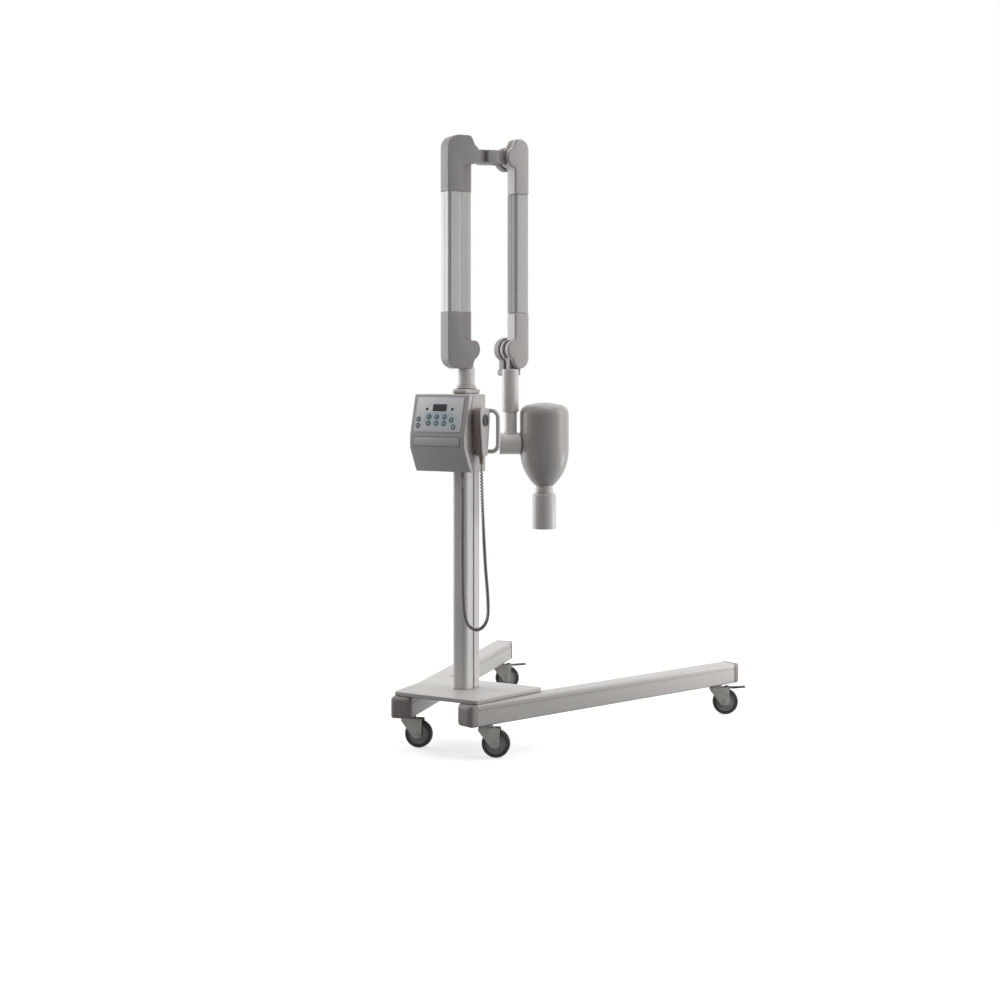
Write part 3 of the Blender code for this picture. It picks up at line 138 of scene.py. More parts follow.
def look(name, slot, base, second, drift, grain, depth, rough, metallic=0.0, coat=0.0, lay=(1, 1, 1), strength=0.5):
    """A material: a tone that drifts over drift mm, painted shade in creases, and a grain of grain mm, depth mm deep.
    """
    material = bpy.data.materials.new(name)
    material.use_nodes = True
    tree = material.node_tree
    shader = tree.nodes["Principled BSDF"]
    shader.inputs["Metallic"].default_value = metallic
    shader.inputs["Coat Weight"].default_value = coat
    shader.inputs["Coat Roughness"].default_value = 0.25
    place = add(tree, "ShaderNodeTexCoord").outputs["Object"]
    cloud = add(tree, "ShaderNodeTexNoise", {"Vector": place, "Scale": 1000 / drift, "Detail": 3})
    blend = add(tree, "ShaderNodeValToRGB", {"Fac": cloud.outputs["Fac"]},
                [(0.35, linear(base)), (0.75, linear(second))])
    tone = add(tree, "ShaderNodeMix", {"Factor": strength, "A": linear(base), "B": blend.outputs["Color"]},
               data_type="RGBA")
    # Painted shade: ambient occlusion within 12 mm darkens the colour in corners, creases, recesses and between
    # parts.
    near = add(tree, "ShaderNodeAmbientOcclusion", {"Distance": 0.012}, samples=8)
    seam = add(tree, "ShaderNodeValToRGB", {"Fac": near.outputs["AO"]},
               [(0.25, (0.62, 0.60, 0.58, 1)), (0.85, (1, 1, 1, 1))])
    tone_with_painted_shade = add(tree, "ShaderNodeMix", {"Factor": 1.0, "A": tone.outputs["Result"], "B": seam.outputs["Color"]},
               data_type="RGBA", blend_type="MULTIPLY")
    tree.links.new(tone_with_painted_shade.outputs["Result"], shader.inputs["Base Color"])
    laid = add(tree, "ShaderNodeMapping", {"Vector": place, "Scale": lay})
    fine = add(tree, "ShaderNodeTexNoise", {"Vector": laid.outputs["Vector"], "Scale": 1000 / grain, "Detail": 2})
    bump = add(tree, "ShaderNodeBump", {"Height": fine.outputs["Fac"], "Strength": 0.35, "Distance": depth / 1000})
    tree.links.new(bump.outputs["Normal"], shader.inputs["Normal"])
    sheen = add(tree, "ShaderNodeValToRGB", {"Fac": fine.outputs["Fac"]},
                [(0.3, (rough[0],) * 3 + (1,)), (0.7, (rough[1],) * 3 + (1,))])
    tree.links.new(sheen.outputs["Color"], shader.inputs["Roughness"])
    return material


# Heat-set vinyl: a dull mid-grey skin with the faint mottling that stretching leaves
VINYL = look("coiled_vinyl", "cord_sheath", "#8b8682", "#7f7a76", 25, 0.7, 0.08, (0.40, 0.55))


def smooth_route(points, count):
    """Points read evenly from a Catmull-Rom curve through the route."""
    route = [Vector(point) for point in points]
    route = [route[0] * 2 - route[1]] + route + [route[-1] * 2 - route[-2]]
    dense = []
    for a, b, c, d in zip(route, route[1:], route[2:], route[3:]):
        for step in range(24):
            t = step / 24
            dense.append(0.5 * ((2 * b) + (c - a) * t + (2 * a - 5 * b + 4 * c - d) * t ** 2
                                + (3 * b - a - 3 * c + d) * t ** 3))
    dense.append(route[-2])
    lengths = [0.0]
    for first, second in zip(dense, dense[1:]):
        lengths.append(lengths[-1] + (second - first).length)
    even = []
    index = 0
    for step in range(count):
        want = lengths[-1] * step / (count - 1)
        while index < len(lengths) - 2 and lengths[index + 1] < want:
            index += 1
        part = (want - lengths[index]) / (lengths[index + 1] - lengths[index])
        even.append(dense[index].lerp(dense[index + 1], part))
    return even, lengths[-1]


def helix(points, length):
    """Coils a wire around a route, with a straight lead at each end, and keeps the coil from twisting."""
    side = Vector((0, 1, 0))
    turn = 0.0
    wound = []
    for index, point in enumerate(points):
        along = length * index / (len(points) - 1)
        heading = (points[min(index + 1, len(points) - 1)] - points[max(index - 1, 0)]).normalized()
        side = (side - heading * side.dot(heading)).normalized()
        across = heading.cross(side)
        edge = min(along, length - along)
        grow = min(max((edge - CORD_LEAD) / 0.012, 0), 1)
        reach = CORD_HELIX * grow * grow * (3 - 2 * grow)
        share = min(max((point.z - CLOSED_BELOW) / (OPEN_ABOVE - CLOSED_BELOW), 0), 1)
        pitch = CLOSED_PITCH + (OPEN_PITCH - CLOSED_PITCH) * share
        turn += math.tau * length / (len(points) - 1) / pitch
        wound.append(point + side * (reach * math.cos(turn)) + across * (reach * math.sin(turn)))
    return wound


def wire(name, points, radius, roundness, look):
    """Round wire or tube along points."""
    curve = bpy.data.curves.new(name, "CURVE")
    curve.dimensions = "3D"
    curve.bevel_depth = radius
    curve.bevel_resolution = roundness
    curve.use_fill_caps = True
    spline = curve.splines.new("POLY")
    spline.points.add(len(points) - 1)
    for target, point in zip(spline.points, points):
        target.co = (*point, 1.0)
    curve.materials.append(look)
    return put(name, curve)


start = Vector((*HANDSET_LEAD, HANDSET_BOTTOM - RELIEF_LENGTH - 2 * GAP))
end = Vector((*BOX_RELIEF, BOX_BOTTOM - RELIEF_LENGTH - 2 * GAP))
drop = Vector((0, 0, 0.02))
route = [start, start - drop, *CORD_ROUTE, end - drop, end]
count = int(smooth_route(route, 50)[1] / CLOSED_PITCH * TURN_POINTS)
points, length = smooth_route(route, count)
wound = [COLUMN @ point for point in helix(points, length)]
cord = wire("curly_cord", wound, CORD_WIRE / 2, 2, VINYL)
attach(cord, "stand")
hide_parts("coiled_cord")


# Legs. Two rectangular steel extrusions of 60 by 62 mm, enamelled, with a decorative groove along each
# side. They splay from the rear, and each end is closed by a pressed-in moulded cap with a domed face.
LEG_BOTTOM = 0.094
LEG_TOP = 0.156
LEG_WIDTH = 0.060
LEG_LENGTH = 1.130
LEG_HALF_ANGLE = 16.6
LEG_REAR_SPREAD = 0.215
LEG_CAP_LENGTH = 0.028
LEG_CAP_DOME = 0.014
# Stoved enamel: even, satin, with the slight orange peel that catches the light along the legs
ENAMEL = look("stoved_enamel", "warm_white_enamel", "#b8b5b1", "#aeaba7", 250, 2.4, 0.12, (0.38, 0.48), coat=0.15)
# Moulded polypropylene: a dull brown-grey with an eroded grain
LEG_CAP = look("polypropylene_cap", "leg_cap_plastic", "#8c8582", "#807976", 70, 0.7, 0.14, (0.45, 0.60))


def arc_point(radius, angle):
    """Point at an angle in radians on a circle about the origin."""
    return Vector((radius * math.cos(angle), radius * math.sin(angle)))


def rounded(corners, steps=8):
    """Outline points of a polygon whose corners are (x, y, radius)."""
    points = []
    for index, (x, y, radius) in enumerate(corners):
        here = Vector((x, y))
        if radius <= 0:
            points.append(here)
            continue
        before = (Vector(corners[index - 1][:2]) - here).normalized()
        after = (Vector(corners[(index + 1) % len(corners)][:2]) - here).normalized()
        half = before.angle(after) / 2
        centre = here + (before + after).normalized() * (radius / math.sin(half))
        start = here + before * (radius / math.tan(half)) - centre
        end = here + after * (radius / math.tan(half)) - centre
        first = math.atan2(start.y, start.x)
        sweep = (math.atan2(end.y, end.x) - first + math.pi) % math.tau - math.pi
        for step in range(steps + 1):
            points.append(centre + arc_point(radius, first + sweep * step / steps))
    return points


def mirrored(half, x_sign=-1, y_sign=1):
    """Corners of a symmetric outline from those of one half."""
    return half + [(x * x_sign, y * y_sign, radius) for x, y, radius in reversed(half)]


def box_outline(x_low, x_high, y_low, y_high, radius=0.0, steps=8):
    """Rectangle outline with equal corner radii."""
    corners = ((x_low, y_low), (x_high, y_low), (x_high, y_high), (x_low, y_high))
    return rounded([(x, y, radius) for x, y in corners], steps)


def prism(points, low, high, axis="Z"):
    """Closed prism of an outline, run along X (outline in Y, Z), Y (X, Z) or Z (X, Y)."""
    lay = {
        "X": lambda a, b, t: (t, a, b),
        "Y": lambda a, b, t: (a, t, b),
        "Z": lambda a, b, t: (a, b, t),
    }[axis]
    mesh = bmesh.new()
    face = mesh.faces.new([mesh.verts.new(lay(point[0], point[1], low)) for point in points])
    grown = bmesh.ops.extrude_face_region(mesh, geom=[face])["geom"]
    lifted = [item for item in grown if isinstance(item, bmesh.types.BMVert)]
    bmesh.ops.translate(mesh, verts=lifted, vec=Vector(lay(0, 0, high - low)))
    bmesh.ops.recalc_face_normals(mesh, faces=mesh.faces)
    return mesh


def loft(rings):
    """Closed solid through rings of as many points each."""
    mesh = bmesh.new()
    loops = []
    for ring in rings:
        verts = [mesh.verts.new(point) for point in ring]
        loops.append([mesh.edges.new((verts[index - 1], verts[index])) for index in range(len(verts))])
    for first, second in zip(loops, loops[1:]):
        bmesh.ops.bridge_loops(mesh, edges=first + second)
    for loop in (loops[0], loops[-1]):
        bmesh.ops.edgeloop_fill(mesh, edges=loop)
    bmesh.ops.recalc_face_normals(mesh, faces=mesh.faces)
    return mesh


def built(name, mesh, place):
    """Object from a mesh that was built in a local frame."""
    mesh.transform(place)
    data = bpy.data.meshes.new(name)
    mesh.to_mesh(data)
    mesh.free()
    return put(name, data)


def make(name, mesh, look, place, bevel=0.0, segments=4):
    """A piece from a mesh in a local frame, with its edges softened."""
    made = built(name, mesh, place)
    made.data.materials.append(look)
    soften(made, bevel, segments)
    return made


def soften(piece, width, segments=3):
    """Rounds the sharp edges and keeps the result in the mesh."""
    if width:
        edge = piece.modifiers.new("edge", "BEVEL")
        edge.width = width
        edge.segments = segments
        edge.limit_method = "ANGLE"
        edge.angle_limit = math.radians(35)
        bake(piece)


def bake(piece):
    """Keeps the result of the modifiers in the mesh."""
    bpy.context.view_layer.update()
    shown = piece.evaluated_get(bpy.context.evaluated_depsgraph_get())
    old = piece.data
    piece.data = bpy.data.meshes.new_from_object(shown)
    piece.modifiers.clear()
    bpy.data.meshes.remove(old)


def finish(piece, body, *nodes, angle=32):
    """Shades a piece, sets it on its body and lets it stand for its nodes."""
    piece.data.shade_smooth()
    piece.data.set_sharp_from_angle(angle=math.radians(angle))
    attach(piece, body)
    if nodes:
        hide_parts(*nodes)
    return piece


def leg_frame(side):
    """Frame of one leg, with +Y along it from its rear end."""
    return STAND @ Matrix.Translation((side * LEG_REAR_SPREAD / 2, 0, 0)) @ Matrix.Rotation(
        -side * math.radians(LEG_HALF_ANGLE), 4, "Z")


def cap_mesh(seam, step):
    """End cap that runs from its seam in +Y or -Y to a softly rounded end."""
    half = LEG_WIDTH / 2
    stations = [(0, 0.0008), (0.0008, 0)]
    for turn in range(11):
        angle = math.radians(9 * turn)
        stations.append((LEG_CAP_LENGTH - LEG_CAP_DOME * (1 - math.sin(angle)), LEG_CAP_DOME * (1 - math.cos(angle))))
    rings = []
    for along, inset in stations:
        section = box_outline(-half + inset, half - inset, LEG_BOTTOM + inset, LEG_TOP - inset, 0.007 + inset * 0.3)
        rings.append([Vector((x, seam + step * along, z)) for x, z in section])
    return loft(rings)


def build_leg(side, name):
    """Leg extrusion with its side groove, and a rounded moulded cap on each end."""
    place = leg_frame(side)
    half = LEG_WIDTH / 2
    high = LEG_TOP - 0.014
    low = high - 0.004
    deep = half - 0.0015
    outline = rounded(mirrored([
        (half, LEG_BOTTOM, 0.006), (half, low, 0), (deep, low, 0),
        (deep, high, 0), (half, high, 0), (half, LEG_TOP, 0.006),
    ]))
    leg = make(f"leg_extrusion_{name}", prism(outline, LEG_CAP_LENGTH + GAP, LEG_LENGTH - LEG_CAP_LENGTH - GAP, "Y"),
               ENAMEL, place)
    finish(leg, "stand", f"leg_{name}")
    for end, seam, step in (("rear", LEG_CAP_LENGTH, -1), ("front", LEG_LENGTH - LEG_CAP_LENGTH, 1)):
        cap = make(f"end_cap_{end}_{name}", cap_mesh(seam, step), LEG_CAP, place)
        finish(cap, "stand", f"leg_cap_{end}_{name}", angle=50)


for side, name in ((-1, "left"), (1, "right")):
    build_leg(side, name)


# Base plate. A 12 mm steel plate, cut to taper towards the rear, its upper edge eased and the same
# enamel over it. It ties the two legs together, and the column stands on it.
PLATE_BOTTOM = LEG_TOP + GAP
PLATE_TOP = PLATE_BOTTOM + 0.012

plan = rounded([
    (-0.140, 0.016, 0.012), (0.140, 0.016, 0.012), (0.187, 0.304, 0.012), (-0.187, 0.304, 0.012),
])
plate = make("steel_plate", prism(plan, PLATE_BOTTOM, PLATE_TOP), ENAMEL, STAND, 0.0018, 4)
finish(plate, "stand", "base_plate")


# Casters. Each has a pressed steel fork under a ball race, a grey nylon hub on a bolt and a solid
# rubber tyre of 80 mm. The front pair has a moulded brake pedal on a pin through the fork.
STEM_INSET = 0.083
WHEEL_RADIUS = 0.040
WHEEL_WIDTH = 0.024
CASTER_TRAIL = 0.030
AXLE_BORE = 0.0043
PEDAL_PIN = (0.038, 0, 0.08375)
FORK_INSIDE = WHEEL_WIDTH / 2 + 0.0015
FORK_OUTSIDE = FORK_INSIDE + 0.003
CASTER_HEADINGS = {"rear_left": 18, "rear_right": 24, "front_left": 36, "front_right": 30}
# Zinc plate: a cool grey metal whose fine crystals break up its reflections
ZINC = look("zinc_plate", "zinc_plated_steel", "#a09e99", "#86847f", 17, 1.4, 0.10, (0.32, 0.50), 0.35, strength=0.8)
# Solid rubber: near black, scuffed to a dull bloom in patches
RUBBER = look("solid_rubber", "black_tyre", "#232222", "#2f2d2b", 25, 1.1, 0.16, (0.58, 0.76), strength=0.8)
# Moulded nylon: a plain light grey with a soft sheen
NYLON = look("moulded_nylon", "leg_cap_plastic", "#9b9c9d", "#8f9091", 33, 0.8, 0.10, (0.42, 0.52))
# Glass-filled nylon: black, with a matt pebbled skin
BLACK = look("black_nylon", "charcoal_plastic", "#26252a", "#1b1a1d", 50, 0.7, 0.10, (0.35, 0.50))


def caster_frame(where):
    """Frame of a caster, with its wheel trailing along +X."""
    end, name = where.split("_")
    side = -1 if name == "left" else 1
    along = STEM_INSET if end == "rear" else LEG_LENGTH - STEM_INSET
    return leg_frame(side) @ Matrix.Translation((0, along, 0)) @ Matrix.Rotation(
        math.radians(CASTER_HEADINGS[where] + side * LEG_HALF_ANGLE), 4, "Z")


def shape(piece, mesh, place, operation="DIFFERENCE"):
    """Cuts a shape from a piece, or adds it."""
    guide = built("guide", mesh, place)
    data = guide.data
    step = piece.modifiers.new("shape", "BOOLEAN")
    step.operation = operation
    step.solver = "EXACT"
    step.object = guide
    bake(piece)
    bpy.data.objects.remove(guide)
    bpy.data.meshes.remove(data)


def turned(profile, steps=64, axis="Z"):
    """Solid of revolution of (radius, height) points, about Z or laid along X or Y."""
    mesh = bmesh.new()
    verts = [mesh.verts.new((radius, 0, height)) for radius, height in profile]
    edges = [mesh.edges.new(pair) for pair in zip(verts, verts[1:])]
    if profile[0][0] > 0:
        edges.append(mesh.edges.new((verts[-1], verts[0])))
    bmesh.ops.spin(
        mesh, geom=verts + edges, cent=(0, 0, 0), axis=(0, 0, 1),
        angle=math.tau, steps=steps, use_merge=True,
    )
    bmesh.ops.remove_doubles(mesh, verts=mesh.verts, dist=0.000005)
    bmesh.ops.recalc_face_normals(mesh, faces=mesh.faces)
    if axis == "X":
        bmesh.ops.rotate(mesh, verts=mesh.verts, matrix=Matrix.Rotation(math.pi / 2, 3, "Y"))
    if axis == "Y":
        bmesh.ops.rotate(mesh, verts=mesh.verts, matrix=Matrix.Rotation(-math.pi / 2, 3, "X"))
    return mesh


def round_profile(profile, radius, steps=4):
    """Turned profile whose inner corners are rounded; its first and last points stay sharp."""
    corners = [(x, y, 0 if index in (0, len(profile) - 1) else radius) for index, (x, y) in enumerate(profile)]
    return rounded(corners, steps)


def cylinder(radius, low, high, steps=64, axis="Z", bevel=0.0):
    """Cylinder between two heights, with soft edges if bevelled."""
    profile = [(0, low), (radius, low), (radius, high), (0, high)]
    return turned(round_profile(profile, bevel) if bevel else profile, steps, axis)


def moved(mesh, x=0.0, y=0.0, z=0.0):
    """The same mesh, shifted."""
    bmesh.ops.translate(mesh, verts=mesh.verts, vec=(x, y, z))
    return mesh


def build_fork(where, place, braked):
    """Pressed fork with its swivel race, rounded cheeks and the axle's bore."""
    plate_top = LEG_BOTTOM - 0.0097
    plate_low = 0.082
    ear_top = plate_low + 0.006 if braked else plate_top
    front = CASTER_TRAIL + 0.0115
    cheek = rounded([
        (-0.019, plate_top, 0), (0.026, plate_top, 0), (0.032, ear_top, 0.002), (0.043, ear_top, 0.003),
        (front, 0.0285, 0.010), (CASTER_TRAIL - 0.0115, 0.0285, 0.010), (-0.019, plate_low - 0.006, 0.006),
    ], 6)
    fork = make(f"pressed_fork_{where}", prism(cheek, FORK_INSIDE, FORK_OUTSIDE, "Y"), ZINC, place)
    shape(fork, prism(cheek, -FORK_OUTSIDE, -FORK_INSIDE, "Y"), place, "UNION")
    plate = box_outline(-0.018, CASTER_TRAIL, -FORK_INSIDE - 0.0015, FORK_INSIDE + 0.0015)
    shape(fork, prism(plate, plate_low, plate_top - 0.0003), place, "UNION")
    soften(fork, 0.0005, 2)
    race = round_profile([
        (0, plate_top - 0.001), (0.0175, plate_top - 0.001), (0.021, plate_top + 0.003), (0.021, plate_top + 0.0055),
        (0.0185, plate_top + 0.0065), (0.0185, LEG_BOTTOM - GAP), (0, LEG_BOTTOM - GAP),
    ], 0.0006, 3)
    shape(fork, turned(race, 48), place, "UNION")
    bore = moved(cylinder(AXLE_BORE, -0.03, 0.03, 24, "Y"), CASTER_TRAIL, 0, WHEEL_RADIUS)
    shape(fork, bore, place)
    finish(fork, f"fork_{where}", f"fork_{where}")


def build_wheel(where, place):
    """Tyre with rounded shoulders and a fine centre groove, hub with a recessed web, and hexagonal bolt ends."""
    wheel = place @ Matrix.Translation((CASTER_TRAIL, 0, WHEEL_RADIUS))
    inner = WHEEL_RADIUS - 0.010
    half = WHEEL_WIDTH / 2
    side = rounded([(inner, -half, 0), (inner + 0.001, -half, 0), (WHEEL_RADIUS, -half, 0.0055),
                    (WHEEL_RADIUS, -0.0012, 0)], 5)
    side.append(Vector((WHEEL_RADIUS - 0.0004, -0.0008)))
    profile = side + [Vector((point.x, -point.y)) for point in reversed(side)]
    tyre = make(f"tread_{where}", turned(profile, 72, "Y"), RUBBER, wheel)
    finish(tyre, f"wheel_{where}", f"tyre_{where}")
    rim = inner - GAP
    face = [
        (AXLE_BORE, 0.0128), (0.0086, 0.0128), (0.009, 0.0124), (0.0092, 0.0092), (0.0112, 0.0088),
        (rim - 0.0058, 0.0088), (rim - 0.0048, 0.0082), (rim - 0.0040, 0.0088), (rim - 0.0018, 0.0100),
        (rim - 0.0006, 0.0100), (rim, 0.0094),
    ]
    hub = [Vector((radius, -height)) for radius, height in face] + [Vector(point) for point in reversed(face)]
    finish(make(f"wheel_centre_{where}", turned(hub, 64, "Y"), NYLON, wheel), f"wheel_{where}", f"hub_{where}")
    shank = cylinder(0.004, -FORK_OUTSIDE - 0.001, FORK_OUTSIDE + 0.001, 32, "Y")
    bolt = make(f"axle_bolt_{where}", shank, ZINC, wheel)
    for end in (-1, 1):
        inner_face = FORK_OUTSIDE + GAP
        hexagon = [arc_point(0.0065, math.radians(60 * turn + 12)) for turn in range(6)]
        head = prism(hexagon, *sorted((end * inner_face, end * (inner_face + 0.0025))), "Y")
        shape(bolt, head, wheel, "UNION")
    soften(bolt, 0.0004, 2)
    finish(bolt, f"fork_{where}", f"axle_{where}")


def build_pedal(where, place):
    """Ribbed brake pedal on its pin."""
    pivot = place @ Matrix.Translation(PEDAL_PIN)
    half = 0.00175
    side = rounded([
        (-0.005, -half, 0.0012), (0.020, -half, 0.004), (0.055, 0.001, 0.0012), (0.055, 0.0045, 0.0012),
        (0.018, half, 0.004), (-0.005, half, 0.0012),
    ], 4)
    narrow = FORK_INSIDE - 0.0004
    pedal = make(f"pedal_{where}", prism(side, -narrow, narrow, "Y"), BLACK, pivot, 0.0004, 2)
    for rib in range(5):
        x = 0.026 + rib * 0.0055
        top = 0.0018 + (x - 0.018) * 0.073
        slot = prism(box_outline(x, x + 0.0022, top - 0.0002, top + 0.003), -narrow + 0.002, narrow - 0.002, "Y")
        shape(pedal, slot, pivot)
    shape(pedal, cylinder(0.0016, -FORK_OUTSIDE, FORK_OUTSIDE, 20, "Y"), pivot, "UNION")
    finish(pedal, f"pedal_{where}", f"brake_pedal_{where}")


for where in CASTER_HEADINGS:
    caster = caster_frame(where)
    braked = where.startswith("front")
    build_fork(where, caster, braked)
    build_wheel(where, caster)
    if braked:
        build_pedal(where, caster)


# Column. An aluminium extrusion of 50 by 83 mm with broad round corners and a cable groove down each wide
# side. A moulded cap with a collar closes its top and seals the post.
COLUMN_TOP = 1.020
CAP_TOP = COLUMN_TOP + GAP + 0.014
COLLAR_TOP = CAP_TOP + 0.011
POST_RADIUS = 0.0245
SPIGOT_RADIUS = 0.014
# Extruded aluminium under clear lacquer: pale, satin, with faint die lines along its length
ALLOY = look("lacquered_aluminium", "satin_alloy", "#cbc9c6", "#c0beba", 200, 1.1, 0.06, (0.40, 0.52), 0.05,
             lay=(1, 1, 0.02))
# Moulded ABS in the lighter grey, finely sparked so that it scatters the light
PALE_ABS = look("pale_abs", "arm_cover_plastic", "#c8c5c2", "#bebab6", 140, 0.8, 0.12, (0.42, 0.56))

x, y, slot, deep, corner = 0.025, 0.0415, 0.0035, 0.022, 0.015
outline = rounded(mirrored([
    (x, -y, corner), (x, -slot, 0.0006), (deep, -slot, 0),
    (deep, slot, 0), (x, slot, 0.0006), (x, y, corner),
]), 14)
column = make("column_extrusion", prism(outline, PLATE_TOP + GAP, COLUMN_TOP), ALLOY, COLUMN)
finish(column, "stand", "column")
plan = box_outline(-x - 0.002, x + 0.002, -y - 0.002, y + 0.002, corner + 0.002, 12)
cap = make("top_cap", prism(plan, COLUMN_TOP + GAP, CAP_TOP), PALE_ABS, COLUMN, 0.006, 6)
collar = round_profile([
    (0, CAP_TOP - 0.002), (0.026, CAP_TOP - 0.002), (0.026, CAP_TOP), (0.030, CAP_TOP + 0.002),
    (POST_RADIUS + 0.0025, COLLAR_TOP - 0.001), (POST_RADIUS + 0.001, COLLAR_TOP), (0, COLLAR_TOP),
], 0.0006, 3)
shape(cap, turned(collar), COLUMN, "UNION")
shape(cap, cylinder(SPIGOT_RADIUS + GAP, COLUMN_TOP - 0.01, COLLAR_TOP + 0.01), COLUMN)
finish(cap, "stand", "column_cap")


# Post. A steel tube of 49 mm, turned down inside the column and enamelled. It carries the arms and ends
# in the tongue that the lower arm hinges on.
PIVOT_LOW_Z = 1.149
SPIGOT_BOTTOM = 0.955
COVER_TOP = 0.056
TONGUE_HALF = 0.010
TONGUE_RADIUS = 0.026
PIN_BORE = 0.0063
# Gloss enamel on turned steel: smoother than the base, with a thin clear skin
TUBE = look("gloss_enamel", "satin_alloy", "#d9d6d3", "#cfccc8", 170, 1.7, 0.06, (0.33, 0.40), coat=0.2)


def arc(centre, radius, first, last, steps):
    """Points on an arc between two angles in degrees."""
    turns = (math.radians(first + (last - first) * step / steps) for step in range(steps + 1))
    return [Vector(centre) + arc_point(radius, turn) for turn in turns]


def tongue(pivot, direction, length, half_width, low, high, radius=TONGUE_RADIUS):
    """Flat tongue or ear with a round end at a pivot, running off in one direction in degrees."""
    reach = math.sqrt(max(radius ** 2 - half_width ** 2, 0))
    spread = math.degrees(math.atan2(half_width, reach))
    points = [Vector((length, half_width))] + arc((0, 0), radius, spread, 360 - spread, 40)
    points.append(Vector((length, -half_width)))
    turn = Matrix.Rotation(math.radians(direction), 2)
    return prism([turn @ point + Vector(pivot) for point in points], low, high, "Y")


def pin_bore(pivot, low=-0.07, high=0.07):
    """Cutter for a pin's hole."""
    return moved(cylinder(PIN_BORE, low, high, 32, "Y"), pivot[0], 0, pivot[1])


shoulder = PIVOT_LOW_Z - COVER_TOP - 0.001
base = COLLAR_TOP + GAP
profile = round_profile([
    (0, SPIGOT_BOTTOM), (SPIGOT_RADIUS, SPIGOT_BOTTOM), (SPIGOT_RADIUS, base), (POST_RADIUS, base),
    (POST_RADIUS, shoulder), (0, shoulder),
], 0.0012, 4)
post = make("post_turning", turned(profile), TUBE, FOLD)
pivot = (0, PIVOT_LOW_Z)
shape(post, tongue(pivot, -90, COVER_TOP + 0.006, 0.019, -TONGUE_HALF, TONGUE_HALF), FOLD, "UNION")
shape(post, pin_bore(pivot), FOLD)
finish(post, "post", "arm_post")


# Lower arm. A wide aluminium extrusion with a thinner rail on its inner side and a white strip clipped
# in along its outer side. An ABS cover is screwed over each end and cut away for the hinge tongues.
ARM_SPACING = 0.158
PIVOT_HIGH_Z = 1.712
ARM_HALF = 0.025
COVER_REACH = 0.108
KNUCKLE_RADIUS = 0.033
LOWER_ARM = (0.072, -0.024, 0.038)
RAIL_INNER = 0.011
RAIL_HALF = 0.017
TONGUE_WIDTH = 0.0185
SLOT_WIDTH = 0.020
BEAM_BOTTOM = PIVOT_LOW_Z + COVER_REACH + GAP
BEAM_TOP = PIVOT_HIGH_Z - COVER_REACH - GAP
# Extruded PVC in white: smooth, with a dull shine
WHITE_PVC = look("white_pvc", "arm_cover_plastic", "#f3f1ee", "#ebe9e6", 140, 1.1, 0.08, (0.42, 0.50))
# Moulded ABS in the darker grey, finely sparked and matt
DARK_ABS = look("dark_abs", "arm_cover_plastic", "#999693", "#908d8a", 140, 0.8, 0.12, (0.44, 0.58))


def cover_outline(outer, inner, corner):
    """End cover outline about its pivot at the top end of an arm, outer side at -X."""
    knuckle = arc((0, 0), KNUCKLE_RADIUS, 60, -48, 24)
    head = rounded([
        (-outer, -COVER_REACH, 0), (-outer, COVER_TOP, corner), (0.004, COVER_TOP, 0.014), (*knuckle[0], 0),
    ], 14)
    neck = rounded([(*knuckle[-1], 0), (inner, -0.030, 0.012), (inner, -COVER_REACH, 0)], 8)
    return head + knuckle[1:] + neck[1:]


def slot_outline(rest, limit):
    """Room for a tongue that turns between two directions, in degrees."""
    side = 1 if limit > rest else -1
    far = 0.16
    radius = TONGUE_RADIUS + 0.0015
    lean = math.degrees(math.asin(SLOT_WIDTH / radius))
    back = arc((0, 0), radius, limit + side * lean, rest + side * (360 - lean), 32)
    rest_end = arc_point(SLOT_WIDTH, math.radians(rest - side * 90)) + arc_point(far, math.radians(rest))
    limit_end = arc_point(SLOT_WIDTH, math.radians(limit + side * 90)) + arc_point(far, math.radians(limit))
    return back + [rest_end, arc_point(far * 1.4, math.radians((rest + limit) / 2)), limit_end]


def rail_mesh(inner, low, high):
    """Thinner rounded rail along the inner side of the lower arm."""
    plan = rounded([(-0.0335, -RAIL_HALF, 0), (inner, -RAIL_HALF, 0.010), (inner, RAIL_HALF, 0.010),
                    (-0.0335, RAIL_HALF, 0)], 8)
    return prism(plan, low, high)


def build_cover(name, sizes, pivot, mirror_x, mirror_z, slot, body, look, rail=False):
    """End cover with soft edges, the slot for the tongue and the pin's bore."""
    outline = [Vector((mirror_x * point.x + pivot[0], mirror_z * point.y + pivot[1]))
               for point in cover_outline(*sizes)]
    cover = make(f"{name}_moulding", prism(outline, -ARM_HALF, ARM_HALF, "Y"), look, FOLD, 0.006, 6)
    if rail:
        ends = sorted((pivot[1] - mirror_z * 0.022, pivot[1] - mirror_z * COVER_REACH))
        shape(cover, rail_mesh(RAIL_INNER, *ends), FOLD, "UNION")
    slot_points = [point + Vector(pivot) for point in slot]
    gap = TONGUE_HALF + 0.0007
    shape(cover, prism(slot_points, -gap, gap, "Y"), FOLD)
    shape(cover, pin_bore(pivot, -0.0203, 0.05), FOLD)
    finish(cover, body, name, angle=28)


def beam_outline(low, high):
    """Arm extrusion section with clip grooves on its narrow sides and a shadow groove on its wide ones."""
    half = ARM_HALF - 0.0015
    groove = half - 0.006
    left = low + 0.0015
    right = high - 0.0015
    near, far = left + 0.0035, left + 0.0065
    floor = half - 0.0035
    return rounded(mirrored([
        (left, 0.003 - groove, 0), (left + 0.0015, 0.0015 - groove, 0), (left, -groove, 0), (left, -half, 0.003),
        (near, -half, 0), (near, -floor, 0), (far, -floor, 0), (far, -half, 0),
        (right, -half, 0.004), (right, -groove, 0), (right - 0.0015, 0.0015 - groove, 0), (right, 0.003 - groove, 0),
    ], 1, -1), 6)


